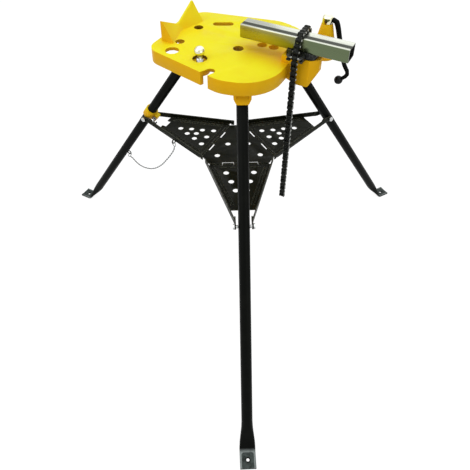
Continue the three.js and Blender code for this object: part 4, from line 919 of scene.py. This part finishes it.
hole_bosses(table_yellow)
screw_threads(steel)
wing_beads(sheet_black)
dress("table_top", table_yellow, edge=0.0012)
dress("vise_jaw", vise_iron, edge=0.0008)
dress("clamped_bar", drawn_steel(), edge=0.0004)
dress("chain_carrier", vise_iron, edge=0.0008)
dress("crank_hub", bright_chrome)
dress("crank_lever", part_black)
dress("crank_ball", ball_black())
dress("brace_head", bright_chrome)
for leg in LEG_AZIMUTHS:
    dress(f"leg_{leg}", leg_black, edge=0.0008)
    dress(f"leg_pin_{leg}", steel)
    dress(f"tray_wing_{leg}", sheet_black)
    dress(f"tray_hinge_pin_{leg}", steel, edge=0.0003)
    for end in "ab":
        dress(f"tray_bolt_{leg}_{end}", steel, edge=0.0005)
dress("tray_centre", sheet_black)
dress("rear_collar", collar_yellow, edge=0.0008)
dress("collar_bolt", steel, edge=0.0004)
dress("collar_hook", part_black, edge=0.0003)
dress("retainer_ring_wing", wire, edge=0.0001)
dress("retainer_ring_leg", wire, edge=0.0001)

# Stage: pale floor, soft lamps and a plain sky. A lamp is (name, place, target, size, power).
FLOOR_REACH = 12
FLOOR_DROP = 0.0004
FLOOR_COLOUR = (0.86, 0.86, 0.86, 1)
FLOOR_GLOW = 1.18
FLOOR_GLOW_SHARE = 0.80
SKY_LEVEL = 0.28
LAMPS = [
    ("top", (0.15, 0.1, 2.6), (0.15, 0, 0.6), (3.4, 3.4), 38),
    ("key", (-1.3, -1.9, 2.2), (0.15, 0, 0.6), (2.4, 2.4), 22),
    ("fill", (2.2, -1.0, 1.3), (0.15, 0, 0.6), (1.2, 1.6), 7),
    ("back", (0.3, 2.4, 1.6), (0.15, 0, 0.5), (2.4, 1.6), 9),
]


def seen_white(tree):
    """1 for rays from the camera, mirrors and glass, and 0 for the rest."""
    path = tree.nodes.new("ShaderNodeLightPath")
    seen = path.outputs["Is Camera Ray"]
    for kind in ("Is Glossy Ray", "Is Transmission Ray"):
        either = tree.nodes.new("ShaderNodeMath")
        either.operation = "MAXIMUM"
        tree.links.new(seen, either.inputs[0])
        tree.links.new(path.outputs[kind], either.inputs[1])
        seen = either.outputs[0]
    return seen


def floor_white():
    """White that glows to the rays that see it, with a diffuse share that keeps the shadow."""
    material = bpy.data.materials.new("floor")
    material.use_nodes = True
    tree = material.node_tree
    tree.nodes.clear()
    out = tree.nodes.new("ShaderNodeOutputMaterial")
    blend = tree.nodes.new("ShaderNodeMixShader")
    diffuse = tree.nodes.new("ShaderNodeBsdfDiffuse")
    diffuse.inputs["Color"].default_value = FLOOR_COLOUR
    glow = tree.nodes.new("ShaderNodeEmission")
    glow.inputs["Strength"].default_value = FLOOR_GLOW
    share = tree.nodes.new("ShaderNodeMath")
    share.operation = "MULTIPLY"
    share.inputs[1].default_value = FLOOR_GLOW_SHARE
    tree.links.new(seen_white(tree), share.inputs[0])
    tree.links.new(share.outputs[0], blend.inputs["Fac"])
    tree.links.new(diffuse.outputs["BSDF"], blend.inputs[1])
    tree.links.new(glow.outputs["Emission"], blend.inputs[2])
    tree.links.new(blend.outputs["Shader"], out.inputs["Surface"])
    return material


def make_floor():
    mesh = bpy.data.meshes.new("floor")
    corners = [(FLOOR_REACH * x, FLOOR_REACH * y, 0) for x, y in ((-1, -1), (1, -1), (1, 1), (-1, 1))]
    mesh.from_pydata(corners, [], [(0, 1, 2, 3)])
    mesh.materials.append(floor_white())
    floor = bpy.data.objects.new("floor", mesh)
    scene.collection.objects.link(floor)
    floor.location.z = -FLOOR_DROP


def make_world():
    world = bpy.data.worlds.new("world")
    scene.world = world
    world.use_nodes = True
    tree = world.node_tree
    sky = tree.nodes["Background"]
    sky.inputs["Color"].default_value = (1, 1, 1, 1)
    level = tree.nodes.new("ShaderNodeMapRange")
    level.inputs["To Min"].default_value = SKY_LEVEL
    level.inputs["To Max"].default_value = 1.0
    tree.links.new(seen_white(tree), level.inputs["Value"])
    tree.links.new(level.outputs["Result"], sky.inputs["Strength"])


def make_lamp(name, place, target, size, power):
    data = bpy.data.lights.new(name, "AREA")
    data.shape = "RECTANGLE"
    data.size, data.size_y = size
    data.energy = power
    lamp = bpy.data.objects.new(name, data)
    scene.collection.objects.link(lamp)
    aim(lamp, place, target)


make_floor()
make_world()
for lamp in LAMPS:
    make_lamp(*lamp)
scene.view_settings.view_transform = "Standard"
